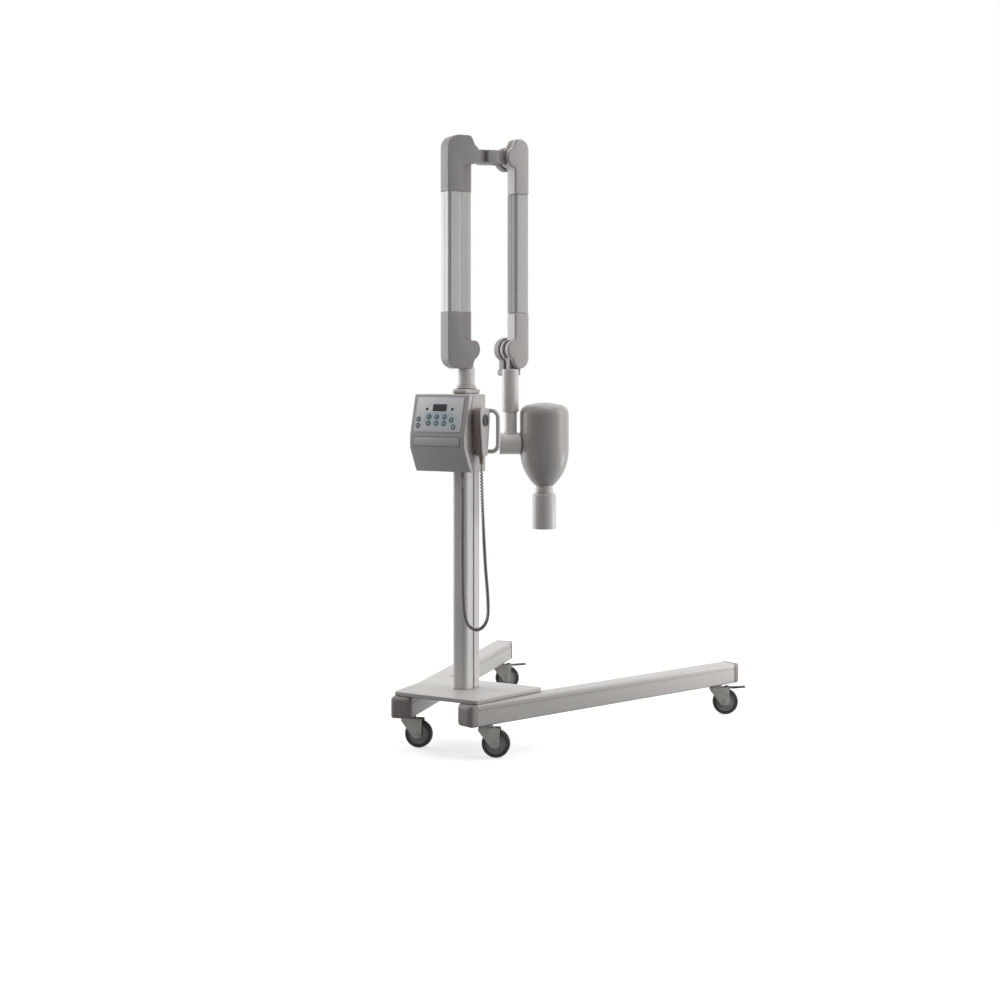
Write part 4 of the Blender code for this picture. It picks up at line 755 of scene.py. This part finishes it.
def build_beam(name, low, high, body, rail=False):
    """Beam between an arm's two end covers, with the inner rail joined on where asked."""
    beam = make(f"{name}_extrusion", prism(beam_outline(low, high), BEAM_BOTTOM, BEAM_TOP), ALLOY, FOLD)
    if rail:
        shape(beam, rail_mesh(RAIL_INNER - 0.001, BEAM_BOTTOM, BEAM_TOP), FOLD, "UNION")
    finish(beam, body, name)


def build_strip(name, face, strip_look, body):
    """Clipped-in strip that closes a beam's side at x = face, with a line along its middle."""
    half = ARM_HALF - 0.0035
    outer = face - 0.0012
    section = rounded([
        (face, -half, 0), (outer, -half, 0.0008), (outer, -0.0012, 0), (outer + 0.0009, 0, 0), (outer, 0.0012, 0),
        (outer, half, 0.0008), (face, half, 0),
    ], 4)
    finish(make(name, prism(section, BEAM_BOTTOM, BEAM_TOP), strip_look, FOLD), body)


low, high = (0, PIVOT_LOW_Z), (0, PIVOT_HIGH_Z)
foot = slot_outline(-90, -32)
head = slot_outline(0, 58)
build_cover("lower_arm_foot_cover", LOWER_ARM, low, 1, -1, foot, "lower_arm", DARK_ABS, True)
build_cover("lower_arm_head_cover", LOWER_ARM, high, 1, 1, head, "lower_arm", DARK_ABS, True)
build_beam("lower_arm_beam", -LOWER_ARM[0], LOWER_ARM[1] - 0.006, "lower_arm", True)
build_strip("outer_strip", 0.0015 - LOWER_ARM[0], WHITE_PVC, "lower_arm")


# Upper arm. The same build with a narrower extrusion, and a grey strip clipped in along its inner side, whose dark
# grey is partly painted shade.
UPPER_ARM = (0.040, 0.008, 0.030)
# Extruded PVC in mid grey, smooth with a dull shine; its darkness is partly painted shade for the inner side that
# faces the lower arm
SHADED_GREY_PVC = look("grey_pvc_painted_shade", "arm_cover_plastic", "#848280", "#7a7876", 140, 1.1, 0.08, (0.42, 0.50))

low, high = (ARM_SPACING, PIVOT_LOW_Z), (ARM_SPACING, PIVOT_HIGH_Z)
head = slot_outline(180, 67)
foot = slot_outline(270, 157)
build_cover("upper_arm_foot_cover", UPPER_ARM, low, -1, -1, foot, "upper_arm", PALE_ABS)
build_cover("upper_arm_head_cover", UPPER_ARM, high, -1, 1, head, "upper_arm", PALE_ABS)
build_beam("upper_arm_beam", ARM_SPACING - UPPER_ARM[1], ARM_SPACING + UPPER_ARM[0], "upper_arm")
# Partly painted shade: the strip's mid grey also stands for the shade on the inner side that faces the lower arm.
build_strip("inner_strip", ARM_SPACING - UPPER_ARM[1] + 0.0015, SHADED_GREY_PVC, "upper_arm")


# Link bar. A die-cast bar between the two upper pivots, with a tongue in each arm and a round ear on the
# far side of the upper arm, painted to match the covers.
EAR_FACE = ARM_HALF + 0.001
EAR_END = EAR_FACE + 0.030
EAR_RADIUS = 0.036
EAR_HALF = 0.018
BLOCK_SETBACK = 0.060


def add_ear(piece, pivot, direction, length):
    """Joins a softened round ear to a piece, on the far side of the upper arm."""
    form = tongue(pivot, direction, length, EAR_HALF, EAR_FACE, EAR_END - 0.001, EAR_RADIUS)
    ear = make("ear", form, DARK_ABS, Matrix.Identity(4), 0.003, 4)
    mesh = bmesh.new()
    mesh.from_mesh(ear.data)
    bpy.data.objects.remove(ear)
    shape(piece, mesh, FOLD, "UNION")


near, far = (0, PIVOT_HIGH_Z), (ARM_SPACING, PIVOT_HIGH_Z)
block = box_outline(BLOCK_SETBACK, ARM_SPACING - BLOCK_SETBACK, PIVOT_HIGH_Z - 0.019, PIVOT_HIGH_Z + 0.019)
bar = make("link_bar_moulding", prism(block, -0.020, EAR_END, "Y"), DARK_ABS, FOLD, 0.004, 5)
span = BLOCK_SETBACK + 0.004
shape(bar, tongue(near, 0, span, TONGUE_WIDTH, -TONGUE_HALF, TONGUE_HALF), FOLD, "UNION")
shape(bar, tongue(far, 180, span, TONGUE_WIDTH, -TONGUE_HALF, TONGUE_HALF), FOLD, "UNION")
add_ear(bar, far, 180, span)
for pivot in (near, far):
    shape(bar, pin_bore(pivot), FOLD)
finish(bar, "link_bar", "crossbar")


# Drop bracket. A turned sleeve for the drop tube under a cast hinge, which has a tongue in the upper
# arm's foot and a round ear beside it.
TUBE_X = ARM_SPACING - 0.010
SLEEVE_RADIUS = 0.0245
SLEEVE_BOTTOM = 0.966
SLEEVE_DEPTH = 0.070
TUBE_RADIUS = 0.019

pivot = (ARM_SPACING, PIVOT_LOW_Z)
top = PIVOT_LOW_Z - COVER_TOP - 0.001
shoulder = top - 0.020
profile = round_profile([
    (0, SLEEVE_BOTTOM), (SLEEVE_RADIUS, SLEEVE_BOTTOM), (SLEEVE_RADIUS, top), (0, top),
], 0.0025, 5)
bracket = make("bracket_sleeve", moved(turned(profile), TUBE_X), TUBE, FOLD)
shape(bracket, moved(cylinder(TUBE_RADIUS + 0.0004, 0.5, SLEEVE_BOTTOM + SLEEVE_DEPTH), TUBE_X), FOLD)
finish(bracket, "bracket", "drop_bracket")
block = box_outline(ARM_SPACING - 0.023, ARM_SPACING + 0.019, shoulder, top, 0.006, 6)
hinge = make("bracket_hinge", prism(block, -TONGUE_HALF, EAR_END, "Y"), DARK_ABS, FOLD, 0.003, 4)
shape(hinge, moved(cylinder(SLEEVE_RADIUS + 0.0001, 0.5, top + 0.01), TUBE_X), FOLD)
reach = PIVOT_LOW_Z - top + 0.003
shape(hinge, tongue(pivot, -90, reach, TONGUE_WIDTH, -TONGUE_HALF, TONGUE_HALF), FOLD, "UNION")
add_ear(hinge, pivot, -90, reach)
shape(hinge, pin_bore(pivot), FOLD)
finish(hinge, "bracket", angle=28)


# Drop tube and elbow. A steel tube turns in the sleeve and ends in a turned elbow, whose closed end
# shows a fine groove. Both have a pale gloss enamel.
ELBOW_HEADING = 35.0
ELBOW_Z = 0.873
ELBOW_RADIUS = 0.032
ELBOW_BACK = 0.034
HEAD_REACH = 0.100
HEAD_RADIUS = 0.072
HEAD_PAD_RADIUS = 0.0335
HEAD_PAD = math.sqrt(HEAD_RADIUS ** 2 - HEAD_PAD_RADIUS ** 2)
DISC_THICKNESS = 0.006
TRUNNION_RADIUS = 0.012
TRUNNION_LENGTH = 0.020
DROP = (FOLD @ Matrix.Translation((TUBE_X, 0, 0))
        @ Matrix.Rotation(math.radians(ELBOW_HEADING - ARM_HEADING), 4, "Z"))
# The palest gloss enamel of the unit, clean and bright against the darker head
PALE = look("pale_gloss_enamel", "arm_cover_plastic", "#f2efec", "#e8e5e2", 170, 1.7, 0.06, (0.33, 0.40), coat=0.2)

low = ELBOW_Z + 0.015
high = SLEEVE_BOTTOM + SLEEVE_DEPTH - 0.001
tube = make("tube_turning", cylinder(TUBE_RADIUS, low, high, 64, "Z", 0.001), PALE, DROP)
finish(tube, "drop_arm", "drop_tube")
end = HEAD_REACH - HEAD_PAD - DISC_THICKNESS - 2 * GAP
profile = rounded([
    (0, -ELBOW_BACK, 0), (ELBOW_RADIUS, -ELBOW_BACK, 0.004), (ELBOW_RADIUS, 0.010 - ELBOW_BACK, 0),
    (ELBOW_RADIUS - 0.0006, 0.0104 - ELBOW_BACK, 0), (ELBOW_RADIUS, 0.0108 - ELBOW_BACK, 0),
    (ELBOW_RADIUS, end, 0.002), (0, end, 0),
], 5)
elbow = make("elbow_casting", moved(turned(profile, 72, "X"), 0, 0, ELBOW_Z), PALE, DROP)
shape(elbow, cylinder(TUBE_RADIUS + GAP, low - GAP, ELBOW_Z + 0.1), DROP)
bore = cylinder(TRUNNION_RADIUS + 0.0004, end - TRUNNION_LENGTH - 0.002, end + 0.01, 48, "X")
shape(elbow, moved(bore, 0, 0, ELBOW_Z), DROP)
finish(elbow, "drop_arm", "elbow", angle=28)


# Tube head. A vacuum-formed shell with a straight wall, a soft crown and a tapered bowl turns on a dark
# friction disc. A neck ring under it holds the open round cone, which is a turned plastic tube.
HEAD_TOP = 0.993
HEAD_NECK_Z = 0.750
NECK_RADIUS = 0.026
CONE_TOP = 0.727
CONE_BOTTOM = 0.622
CONE_RADIUS = 0.035
CONE_WALL = 0.0025
TILT = DROP @ Matrix.Translation((HEAD_REACH, 0, ELBOW_Z))
# Painted polystyrene shell: a warm grey satin that shows long soft highlights
SHELL_PAINT = look("painted_shell", "arm_cover_plastic", "#adaaa6", "#a4a09c", 170, 0.8, 0.10, (0.30, 0.42), coat=0.1)
# Turned polycarbonate: paler than the head and a little glossier
CONE_LOOK = look("turned_polycarbonate", "warm_white_enamel", "#d3d0cd", "#cac6c2", 140, 0.8, 0.08, (0.30, 0.42),
                 coat=0.15)
# Acetal: brown-grey and matt, the friction disc and the dark mouldings of the hand switch
ACETAL = look("brown_acetal", "charcoal_plastic", "#988882", "#8a7c77", 55, 0.7, 0.12, (0.40, 0.56))


def head_profile():
    """Tube head profile from the neck up: a tapered bowl, a wall and a soft crown."""
    low = Vector((NECK_RADIUS + 0.002, HEAD_NECK_Z))
    bend = Vector((HEAD_RADIUS - 0.002, HEAD_NECK_Z + 0.040))
    high = Vector((HEAD_RADIUS, HEAD_NECK_Z + 0.102))
    bowl = []
    for step in range(25):
        t = step / 24
        bowl.append(low * (1 - t) ** 2 + bend * (2 * t * (1 - t)) + high * t ** 2)
    crown = arc((HEAD_RADIUS - 0.028, HEAD_TOP - 0.034), 0.028, 0, 75, 16)
    return [Vector((0, HEAD_NECK_Z))] + bowl + crown + [Vector((0.022, HEAD_TOP - 0.001)), Vector((0, HEAD_TOP))]


head = make("head_moulding", moved(turned(head_profile(), 96), 0, 0, -ELBOW_Z), SHELL_PAINT, TILT)
shape(head, cylinder(HEAD_PAD_RADIUS, -HEAD_RADIUS - 0.02, -HEAD_PAD, 72, "X"), TILT)
finish(head, "tube_head", "head_shell")
face = -HEAD_PAD - GAP
back = face - DISC_THICKNESS
disc = round_profile([
    (0, back - TRUNNION_LENGTH), (TRUNNION_RADIUS, back - TRUNNION_LENGTH), (TRUNNION_RADIUS, back),
    (ELBOW_RADIUS - 0.001, back), (ELBOW_RADIUS - 0.001, face), (0, face),
], 0.0008, 3)
finish(make("tilt_disc", turned(disc, 72, "X"), ACETAL, TILT), "tube_head", "swivel_disc")
low, high = CONE_BOTTOM - ELBOW_Z, CONE_TOP - ELBOW_Z
neck = round_profile([
    (0, high + GAP), (NECK_RADIUS, high + GAP), (NECK_RADIUS, high + 0.014), (NECK_RADIUS - 0.001, high + 0.0145),
    (NECK_RADIUS - 0.001, HEAD_NECK_Z - ELBOW_Z - GAP), (0, HEAD_NECK_Z - ELBOW_Z - GAP),
], 0.0004, 3)
finish(make("neck_turning", turned(neck, 72), CONE_LOOK, TILT), "tube_head", "neck_ring")
inner = CONE_RADIUS - CONE_WALL
cone = rounded([
    (0, high - CONE_WALL, 0), (inner, high - CONE_WALL, 0), (inner, low, 0.0009), (CONE_RADIUS, low, 0.0009),
    (CONE_RADIUS, high - 0.006, 0.003), (NECK_RADIUS + 0.003, high, 0.001), (0, high, 0),
], 4)
finish(make("cone_moulding", turned(cone, 96), CONE_LOOK, TILT), "tube_head", "collimator_cone")


# Control box. Two moulded shells meet in a parting line near the front. The front one leans back at
# the top and in at the bottom, and has a bare foil strip under the keypad, framed by a thin dark rim of painted
# shadow.
BOX_FRONT_DEPTH = 0.020
BOX_BACK_Y = -0.0418
BOX_TOP = 1.020
BOX_PROFILE = ((-0.127, BOX_TOP), (-0.154, 0.905), (-0.154, 0.868), (-0.122, BOX_BOTTOM))
FOIL_THICKNESS = 0.0012
# Sparked ABS of the rear shell, warm light grey
BOX_ABS = look("box_abs", "warm_white_enamel", "#bab7b4", "#b0adaa", 125, 0.7, 0.10, (0.45, 0.58))
# The front shell is the same moulding in a cleaner, lighter tone
FRONT_ABS = look("box_front_abs", "warm_white_enamel", "#c0bdb9", "#bebbbb", 125, 0.7, 0.10, (0.42, 0.55))
# Bare polyester foil, brushed across; the darker rim round it is painted shadow along the strip's edge
BARE_FOIL = look("bare_foil", "keypad_foil", "#d4d1d2", "#cac7c8", 33, 0.8, 0.04, (0.30, 0.40), lay=(0.03, 1, 1))
PAINTED_SHADOW_RIM = look("painted_shadow_rim", "keypad_foil", "#8b888a", "#807d7f", 33, 0.7, 0.06, (0.45, 0.55))


def front_profile(back=0.0, trim=0.0):
    """Side view (y, z) of the box front from brow to chin, moved back and trimmed at both ends."""
    brow, high, low, chin = (Vector(point) for point in BOX_PROFILE)
    brow = brow.lerp(high, trim / (brow.y - high.y))
    chin = chin.lerp(low, trim / (low.y - chin.y))
    return [point + Vector((back, 0)) for point in (brow, high, low, chin)]


tub = front_profile(BOX_FRONT_DEPTH + GAP) + [Vector((BOX_BACK_Y, BOX_BOTTOM)), Vector((BOX_BACK_Y, BOX_TOP))]
rear = make("rear_moulding", prism(tub, -BOX_SIDE, BOX_SIDE, "X"), BOX_ABS, COLUMN, 0.003, 5)
finish(rear, "stand", "box_rear_shell")
shell = front_profile() + list(reversed(front_profile(BOX_FRONT_DEPTH)))
front = make("front_moulding", prism(shell, -BOX_SIDE, BOX_SIDE, "X"), FRONT_ABS, COLUMN, 0.003, 5)
finish(front, "stand", "box_front_shell")
outer = BOX_PROFILE[1][0] - GAP
# Painted shadow: a thin dark frame round the bare strip stands for the shade along its edge.
rim = prism(box_outline(-0.078, 0.078, 0.8725, 0.9005, 0.003), outer - FOIL_THICKNESS / 2, outer, "Y")
finish(make("strip_painted_shadow", rim, PAINTED_SHADOW_RIM, COLUMN), "stand")
strip = make("bare_strip", prism(box_outline(-0.076, 0.076, 0.8745, 0.8985, 0.002), outer - FOIL_THICKNESS, outer,
                                 "Y"), BARE_FOIL, COLUMN, 0.0003, 2)
finish(strip, "stand", "name_strip")


# Keypad. One printed polyester foil covers the membrane switches. Each key is a domed emboss with a dark
# ring, and the smoked display window and two lamps sit above them.
PANEL_WIDTH = 0.158
PANEL_HALF = 0.0501
KEY_RADIUS = 0.0077
KEY_FACE_RADIUS = 0.0054
MARK_HALF = 0.0026
LAMP_RADIUS = 0.0042
LAMP_HEIGHT = 0.978
WINDOW_HEIGHT = 0.982
KEY_PLACES = (
    (-0.033, 0.956, "up"), (-0.0065, 0.956, "plus"), (0.020, 0.956, "up"),
    (-0.033, 0.938, "down"), (-0.0065, 0.938, "minus"), (0.020, 0.938, "down"),
    (0.044, 0.948, "plus"), (0.053, 0.928, ""),
    (-0.068, 0.949, ""), (-0.068, 0.931, ""),
)
KEY_MARKS = {
    "up": ((-1, -0.7), (1, -0.7), (0, 1)),
    "down": ((-1, 0.7), (0, -1), (1, 0.7)),
    "minus": ((-1, -0.3), (1, -0.3), (1, 0.3), (-1, 0.3)),
    "plus": ((-1, -0.3), (-0.3, -0.3), (-0.3, -1), (0.3, -1), (0.3, -0.3), (1, -0.3),
             (1, 0.3), (0.3, 0.3), (0.3, 1), (-0.3, 1), (-0.3, 0.3), (-1, 0.3)),
}
# Printed polyester foil: a cool white ground, a pale blue zone, blue keys, dark rings and plain dark marks
FOIL = look("polyester_foil", "keypad_foil", "#f3f4f6", "#ecedf1", 80, 0.5, 0.04, (0.32, 0.40))
ZONE = look("blue_foil_print", "keypad_foil", "#d3dee5", "#cad6de", 60, 0.5, 0.04, (0.32, 0.40))
RING = look("ring_foil_print", "keypad_foil", "#2f4450", "#263944", 25, 0.5, 0.04, (0.30, 0.38))
KEY_BLUE = look("blue_key_print", "keypad_foil", "#a9c6d3", "#9dbccb", 25, 0.5, 0.04, (0.28, 0.36))
KEY_GREY = look("grey_key_print", "keypad_foil", "#a8b0b8", "#9ca5ae", 25, 0.5, 0.04, (0.30, 0.38))
MARK = look("mark_print", "keypad_foil", "#1c2a33", "#22323c", 25, 0.5, 0.03, (0.36, 0.44))
# Smoked acrylic: almost black and glossy
ACRYLIC = look("smoked_acrylic", "display_window", "#101116", "#0b0c10", 50, 17, 0.03, (0.20, 0.28))


def panel_frame():
    """Frame in the middle of the slanted panel, with -Y out of it, and its slant."""
    top, high = (Vector(point) for point in BOX_PROFILE[:2])
    centre = (top + high) / 2
    lean = math.atan2(top.x - high.x, top.y - high.y)
    place = COLUMN @ Matrix.Translation((0, centre.x, centre.y)) @ Matrix.Rotation(-lean, 4, "X")
    return place, centre.y, lean


def key_mark(kind, x, z):
    """Outline of the plain mark on a key at (x, z)."""
    return [(x + MARK_HALF * across, z + MARK_HALF * up) for across, up in KEY_MARKS[kind]]


place, centre, lean = panel_frame()
outer = -GAP - FOIL_THICKNESS
foil = make("foil_panel", prism(box_outline(-PANEL_WIDTH / 2, PANEL_WIDTH / 2, -PANEL_HALF, PANEL_HALF, 0.004),
                                outer, -GAP, "Y"), FOIL, place, 0.0003, 2)
finish(foil, "stand", "keypad")
zone = rounded([(-0.048, -0.027, 0.008), (0.064, -0.036, 0.008), (0.064, -0.001, 0.008), (0.036, 0.006, 0.006),
                (-0.048, 0.006, 0.008)])
finish(make("tinted_zone", prism(zone, outer - 0.00012, outer, "Y"), ZONE, place), "stand")
for index, (x, height, kind) in enumerate(KEY_PLACES):
    z = (height - centre) / math.cos(lean)
    ring = rounded([
        (0, outer, 0), (KEY_RADIUS, outer, 0), (KEY_RADIUS, outer - 0.0006, 0.0004), (0, outer - 0.0006, 0),
    ], 3)
    finish(make(f"key_ring_{index}", moved(turned(ring, 40, "Y"), x, 0, z), RING, place), "stand")
    face = [(0, outer - 0.0005), (KEY_FACE_RADIUS, outer - 0.0005), (0.0036, outer - 0.00072), (0, outer - 0.00075)]
    key_look = KEY_GREY if x < -0.06 else KEY_BLUE
    finish(make(f"key_face_{index}", moved(turned(face, 40, "Y"), x, 0, z), key_look, place), "stand")
    if kind:
        mark = prism(key_mark(kind, x, z), outer - 0.00079, outer - 0.00060, "Y")
        finish(make(f"key_mark_{index}", mark, MARK, place), "stand")
for index, x in enumerate((-0.043, 0.043)):
    z = (LAMP_HEIGHT - centre) / math.cos(lean)
    lamp = moved(cylinder(LAMP_RADIUS, outer - 0.0006, outer, 32, "Y", 0.0002), x, 0, z)
    finish(make(f"lamp_{index}", lamp, ACRYLIC, place), "stand")
z = (WINDOW_HEIGHT - centre) / math.cos(lean)
glass = box_outline(-0.023, 0.023, z - 0.010, z + 0.010, 0.0015)
face = outer - GAP
window = make("display_glass", prism(glass, face - 0.001, face, "Y"), ACRYLIC, place, 0.0002, 2)
finish(window, "stand", "display_window")


# Hand switch. A two-part moulding, dark behind and pale in front, with an oval black button. It hangs on
# a small holder that is screwed to the box side.
HANDSET_TOP = 0.982
BACK_THICKNESS = 0.019
HANDSET_FACE_X = HANDSET_BACK_X + BACK_THICKNESS + GAP
HANDSET_FRONT_X = HANDSET_FACE_X + 0.005
BUTTON_Z = 0.947
BUTTON_HALF = (0.013, 0.017)


def handset_outline():
    """Front view (y, z) of the hand switch: round shoulders and a narrower foot."""
    corners = mirrored([(0.014, HANDSET_BOTTOM, 0.009), (0.025, 0.950, 0.030), (0.025, HANDSET_TOP, 0.014)])
    return rounded([(HANDSET_Y + y, z, radius) for y, z, radius in corners], 10)


def oval(clearance):
    """Oval of the exposure button (y, z)."""
    return [Vector((HANDSET_Y + (BUTTON_HALF[0] + clearance) * math.cos(turn),
                    BUTTON_Z + (BUTTON_HALF[1] + clearance) * math.sin(turn)))
            for turn in (math.tau * step / 48 for step in range(48))]


holder = box_outline(HANDSET_Y - 0.017, HANDSET_Y + 0.017, HANDSET_BOTTOM + 0.012, HANDSET_TOP - 0.014, 0.005)
hook = prism(holder, BOX_SIDE + GAP, BOX_SIDE + GAP + HOLDER_THICKNESS, "X")
finish(make("holder_moulding", hook, ACETAL, COLUMN, 0.0012, 3), "stand", "handset_holder")
backing = prism(handset_outline(), HANDSET_BACK_X, HANDSET_BACK_X + BACK_THICKNESS, "X")
finish(make("switch_back", backing, ACETAL, COLUMN, 0.003, 5), "handset", "handset_back")
face = make("switch_face", prism(handset_outline(), HANDSET_FACE_X, HANDSET_FRONT_X, "X"), BOX_ABS, COLUMN,
            0.0018, 4)
shape(face, prism(oval(GAP), HANDSET_FACE_X - 0.01, HANDSET_FRONT_X + 0.01, "X"), COLUMN)
finish(face, "handset", "handset_face")
button = make("button_cap", prism(oval(0), HANDSET_FACE_X + 0.0023, HANDSET_FRONT_X + 0.003, "X"), BLACK, COLUMN,
              0.0012, 4)
finish(button, "button", "exposure_button")


# Strain reliefs. Ribbed, tapered sleeves where the curly cord leaves the hand switch and the box, in the
# same dark moulding as the back of the switch.


def relief_mesh(x, y, top):
    """Ribbed strain relief hanging from a face."""
    profile = [(0, top)]
    for rib in range(5):
        high = top - RELIEF_LENGTH * rib / 5
        radius = 0.0065 - 0.00025 * rib
        low = high - RELIEF_LENGTH / 5
        profile += [(radius, high), (radius, low + 0.0014), (radius - 0.0012, low + 0.0010), (radius - 0.0012, low)]
    profile.append((0, top - RELIEF_LENGTH))
    return moved(turned(list(reversed(profile)), 32), x, y)


handset = relief_mesh(*HANDSET_LEAD, HANDSET_BOTTOM - GAP)
finish(make("switch_relief", handset, ACETAL, COLUMN), "handset", "handset_relief")
box = relief_mesh(*BOX_RELIEF, BOX_BOTTOM - GAP)
finish(make("box_cord_relief", box, ACETAL, COLUMN), "stand", "box_relief")


# Push handle. A 12 mm steel tube bent to a U and enamelled, which stands out from the box side beside the
# hand switch and is bolted on from inside.
HANDLE_Y = -0.058
HANDLE_TOP = 0.974
HANDLE_BOTTOM = 0.858
HANDLE_REACH = 0.052
HANDLE_BEND = 0.022
HANDLE_RADIUS = 0.006

start = BOX_SIDE + GAP
reach = start + HANDLE_REACH
outline = [Vector((start, HANDLE_TOP))]
outline += arc((reach - HANDLE_BEND, HANDLE_TOP - HANDLE_BEND), HANDLE_BEND, 90, 0, 16)
outline += arc((reach - HANDLE_BEND, HANDLE_BOTTOM + HANDLE_BEND), HANDLE_BEND, 0, -90, 16)
outline.append(Vector((start, HANDLE_BOTTOM)))
bent = [COLUMN @ Vector((x, HANDLE_Y, z)) for x, z in outline]
handle = wire("bent_handle", bent, HANDLE_RADIUS, 8, TUBE)
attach(handle, "stand")
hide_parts("push_handle")


# Hinge pins and post bush. Plated steel pins and an acetal bush, mostly hidden; their solids are right as
# they are and only get their finishes.
for name, finish_look in {
    "post_bush": ACETAL, "lower_arm_foot_pin": ZINC, "lower_arm_head_pin": ZINC,
    "upper_arm_foot_pin": ZINC, "upper_arm_head_pin": ZINC,
}.items():
    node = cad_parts[name]
    node.data.materials.clear()
    node.data.materials.append(finish_look)


# Studio. A pale seamless floor that fades into a white background, a sky that is brighter behind and
# above than from the camera's side, and four soft banks of light.
FLOOR_SIZE = 14.0
FLOOR_DROP = 0.0006


def shown_white(tree):
    """1 for the rays that should see the plain white background, 0 for those that light the object."""
    path = add(tree, "ShaderNodeLightPath")
    seen = add(tree, "ShaderNodeMath", {0: path.outputs["Is Camera Ray"], 1: path.outputs["Is Glossy Ray"]},
               operation="MAXIMUM")
    return add(tree, "ShaderNodeMath", {0: seen.outputs[0], 1: path.outputs["Is Transmission Ray"]},
               operation="MAXIMUM").outputs[0]


sheet = bmesh.new()
bmesh.ops.create_grid(sheet, x_segments=1, y_segments=1, size=FLOOR_SIZE / 2)
floor = built("studio_floor", sheet, Matrix.Identity(4))
floor.location.z = -FLOOR_DROP
material = bpy.data.materials.new("pale_studio_floor")
material.use_nodes = True
tree = material.node_tree
tree.nodes.clear()
grey = add(tree, "ShaderNodeBsdfDiffuse", {"Color": linear("#606060")})
pale = add(tree, "ShaderNodeBsdfDiffuse", {"Color": linear("#b9b9b9")})
glow = add(tree, "ShaderNodeEmission", {"Color": (1, 1, 1, 1), "Strength": 0.66})
lit = add(tree, "ShaderNodeAddShader", {0: pale.outputs[0], 1: glow.outputs[0]})
both = add(tree, "ShaderNodeMixShader", {0: shown_white(tree), 1: grey.outputs[0], 2: lit.outputs[0]})
add(tree, "ShaderNodeOutputMaterial", {"Surface": both.outputs[0]})
floor.data.materials.append(material)

world = bpy.data.worlds.new("studio")
bpy.context.scene.world = world
world.use_nodes = True
tree = world.node_tree
tree.nodes.clear()
place = add(tree, "ShaderNodeTexCoord")
turn = add(tree, "ShaderNodeMapping", {"Vector": place.outputs["Generated"], "Rotation": (0, 0, -VIEW_TURN)})
parts = add(tree, "ShaderNodeSeparateXYZ", {"Vector": turn.outputs["Vector"]})
level = (1, 1, 1, 1)
for axis, stops in (
    ("Y", ((0.0, 0.20), (0.30, 0.30), (0.46, 0.80), (0.62, 1.10), (1.0, 1.15))),
    ("X", ((0.0, 0.85), (0.5, 1.0), (0.8, 1.05), (1.0, 1.05))),
    ("Z", ((0.0, 0.95), (0.7, 1.10), (1.0, 0.90))),
):
    span = add(tree, "ShaderNodeMapRange", {"Value": parts.outputs[axis], "From Min": -1})
    ramp = add(tree, "ShaderNodeValToRGB", {"Fac": span.outputs["Result"]},
               [(position, (value, value, value, 1)) for position, value in stops])
    level = add(tree, "ShaderNodeMix", {"Factor": 1, "A": level, "B": ramp.outputs["Color"]},
                data_type="RGBA", blend_type="MULTIPLY").outputs["Result"]
light = add(tree, "ShaderNodeBackground", {"Color": level})
plain = add(tree, "ShaderNodeBackground", {"Color": (1, 1, 1, 1)})
blend = add(tree, "ShaderNodeMixShader", {0: shown_white(tree), 1: light.outputs[0], 2: plain.outputs[0]})
add(tree, "ShaderNodeOutputWorld", {"Surface": blend.outputs[0]})


def view_point(right, depth, height):
    """Point to the right of the object and behind it, as the camera sees them."""
    return (right * math.cos(VIEW_TURN) - depth * math.sin(VIEW_TURN),
            right * math.sin(VIEW_TURN) + depth * math.cos(VIEW_TURN), height)


def bank(name, location, target, size, power):
    """Soft rectangular light that points at a target."""
    data = bpy.data.lights.new(name, "AREA")
    data.shape = "RECTANGLE"
    data.size, data.size_y = size
    data.energy = power
    lamp = put(name, data)
    lamp.location = location
    lamp.rotation_euler = (Vector(target) - Vector(location)).to_track_quat("-Z", "Y").to_euler()


bank("left_bank", view_point(-2.3, 0.8, 1.3), (0, -0.2, 0.9), (1.2, 2.4), 34)
bank("right_bank", view_point(2.35, -0.45, 1.45), (0, -0.1, 1.05), (1.0, 2.2), 26)
bank("leg_bank", (1.35, 1.0, 0.32), (0.05, 0.35, 0.12), (0.3, 0.4), 6)
bank("top_bank", (0, 0.2, 3.4), (0, 0, 0.5), (2.5, 2.5), 22)
bpy.context.scene.view_settings.view_transform = "Standard"
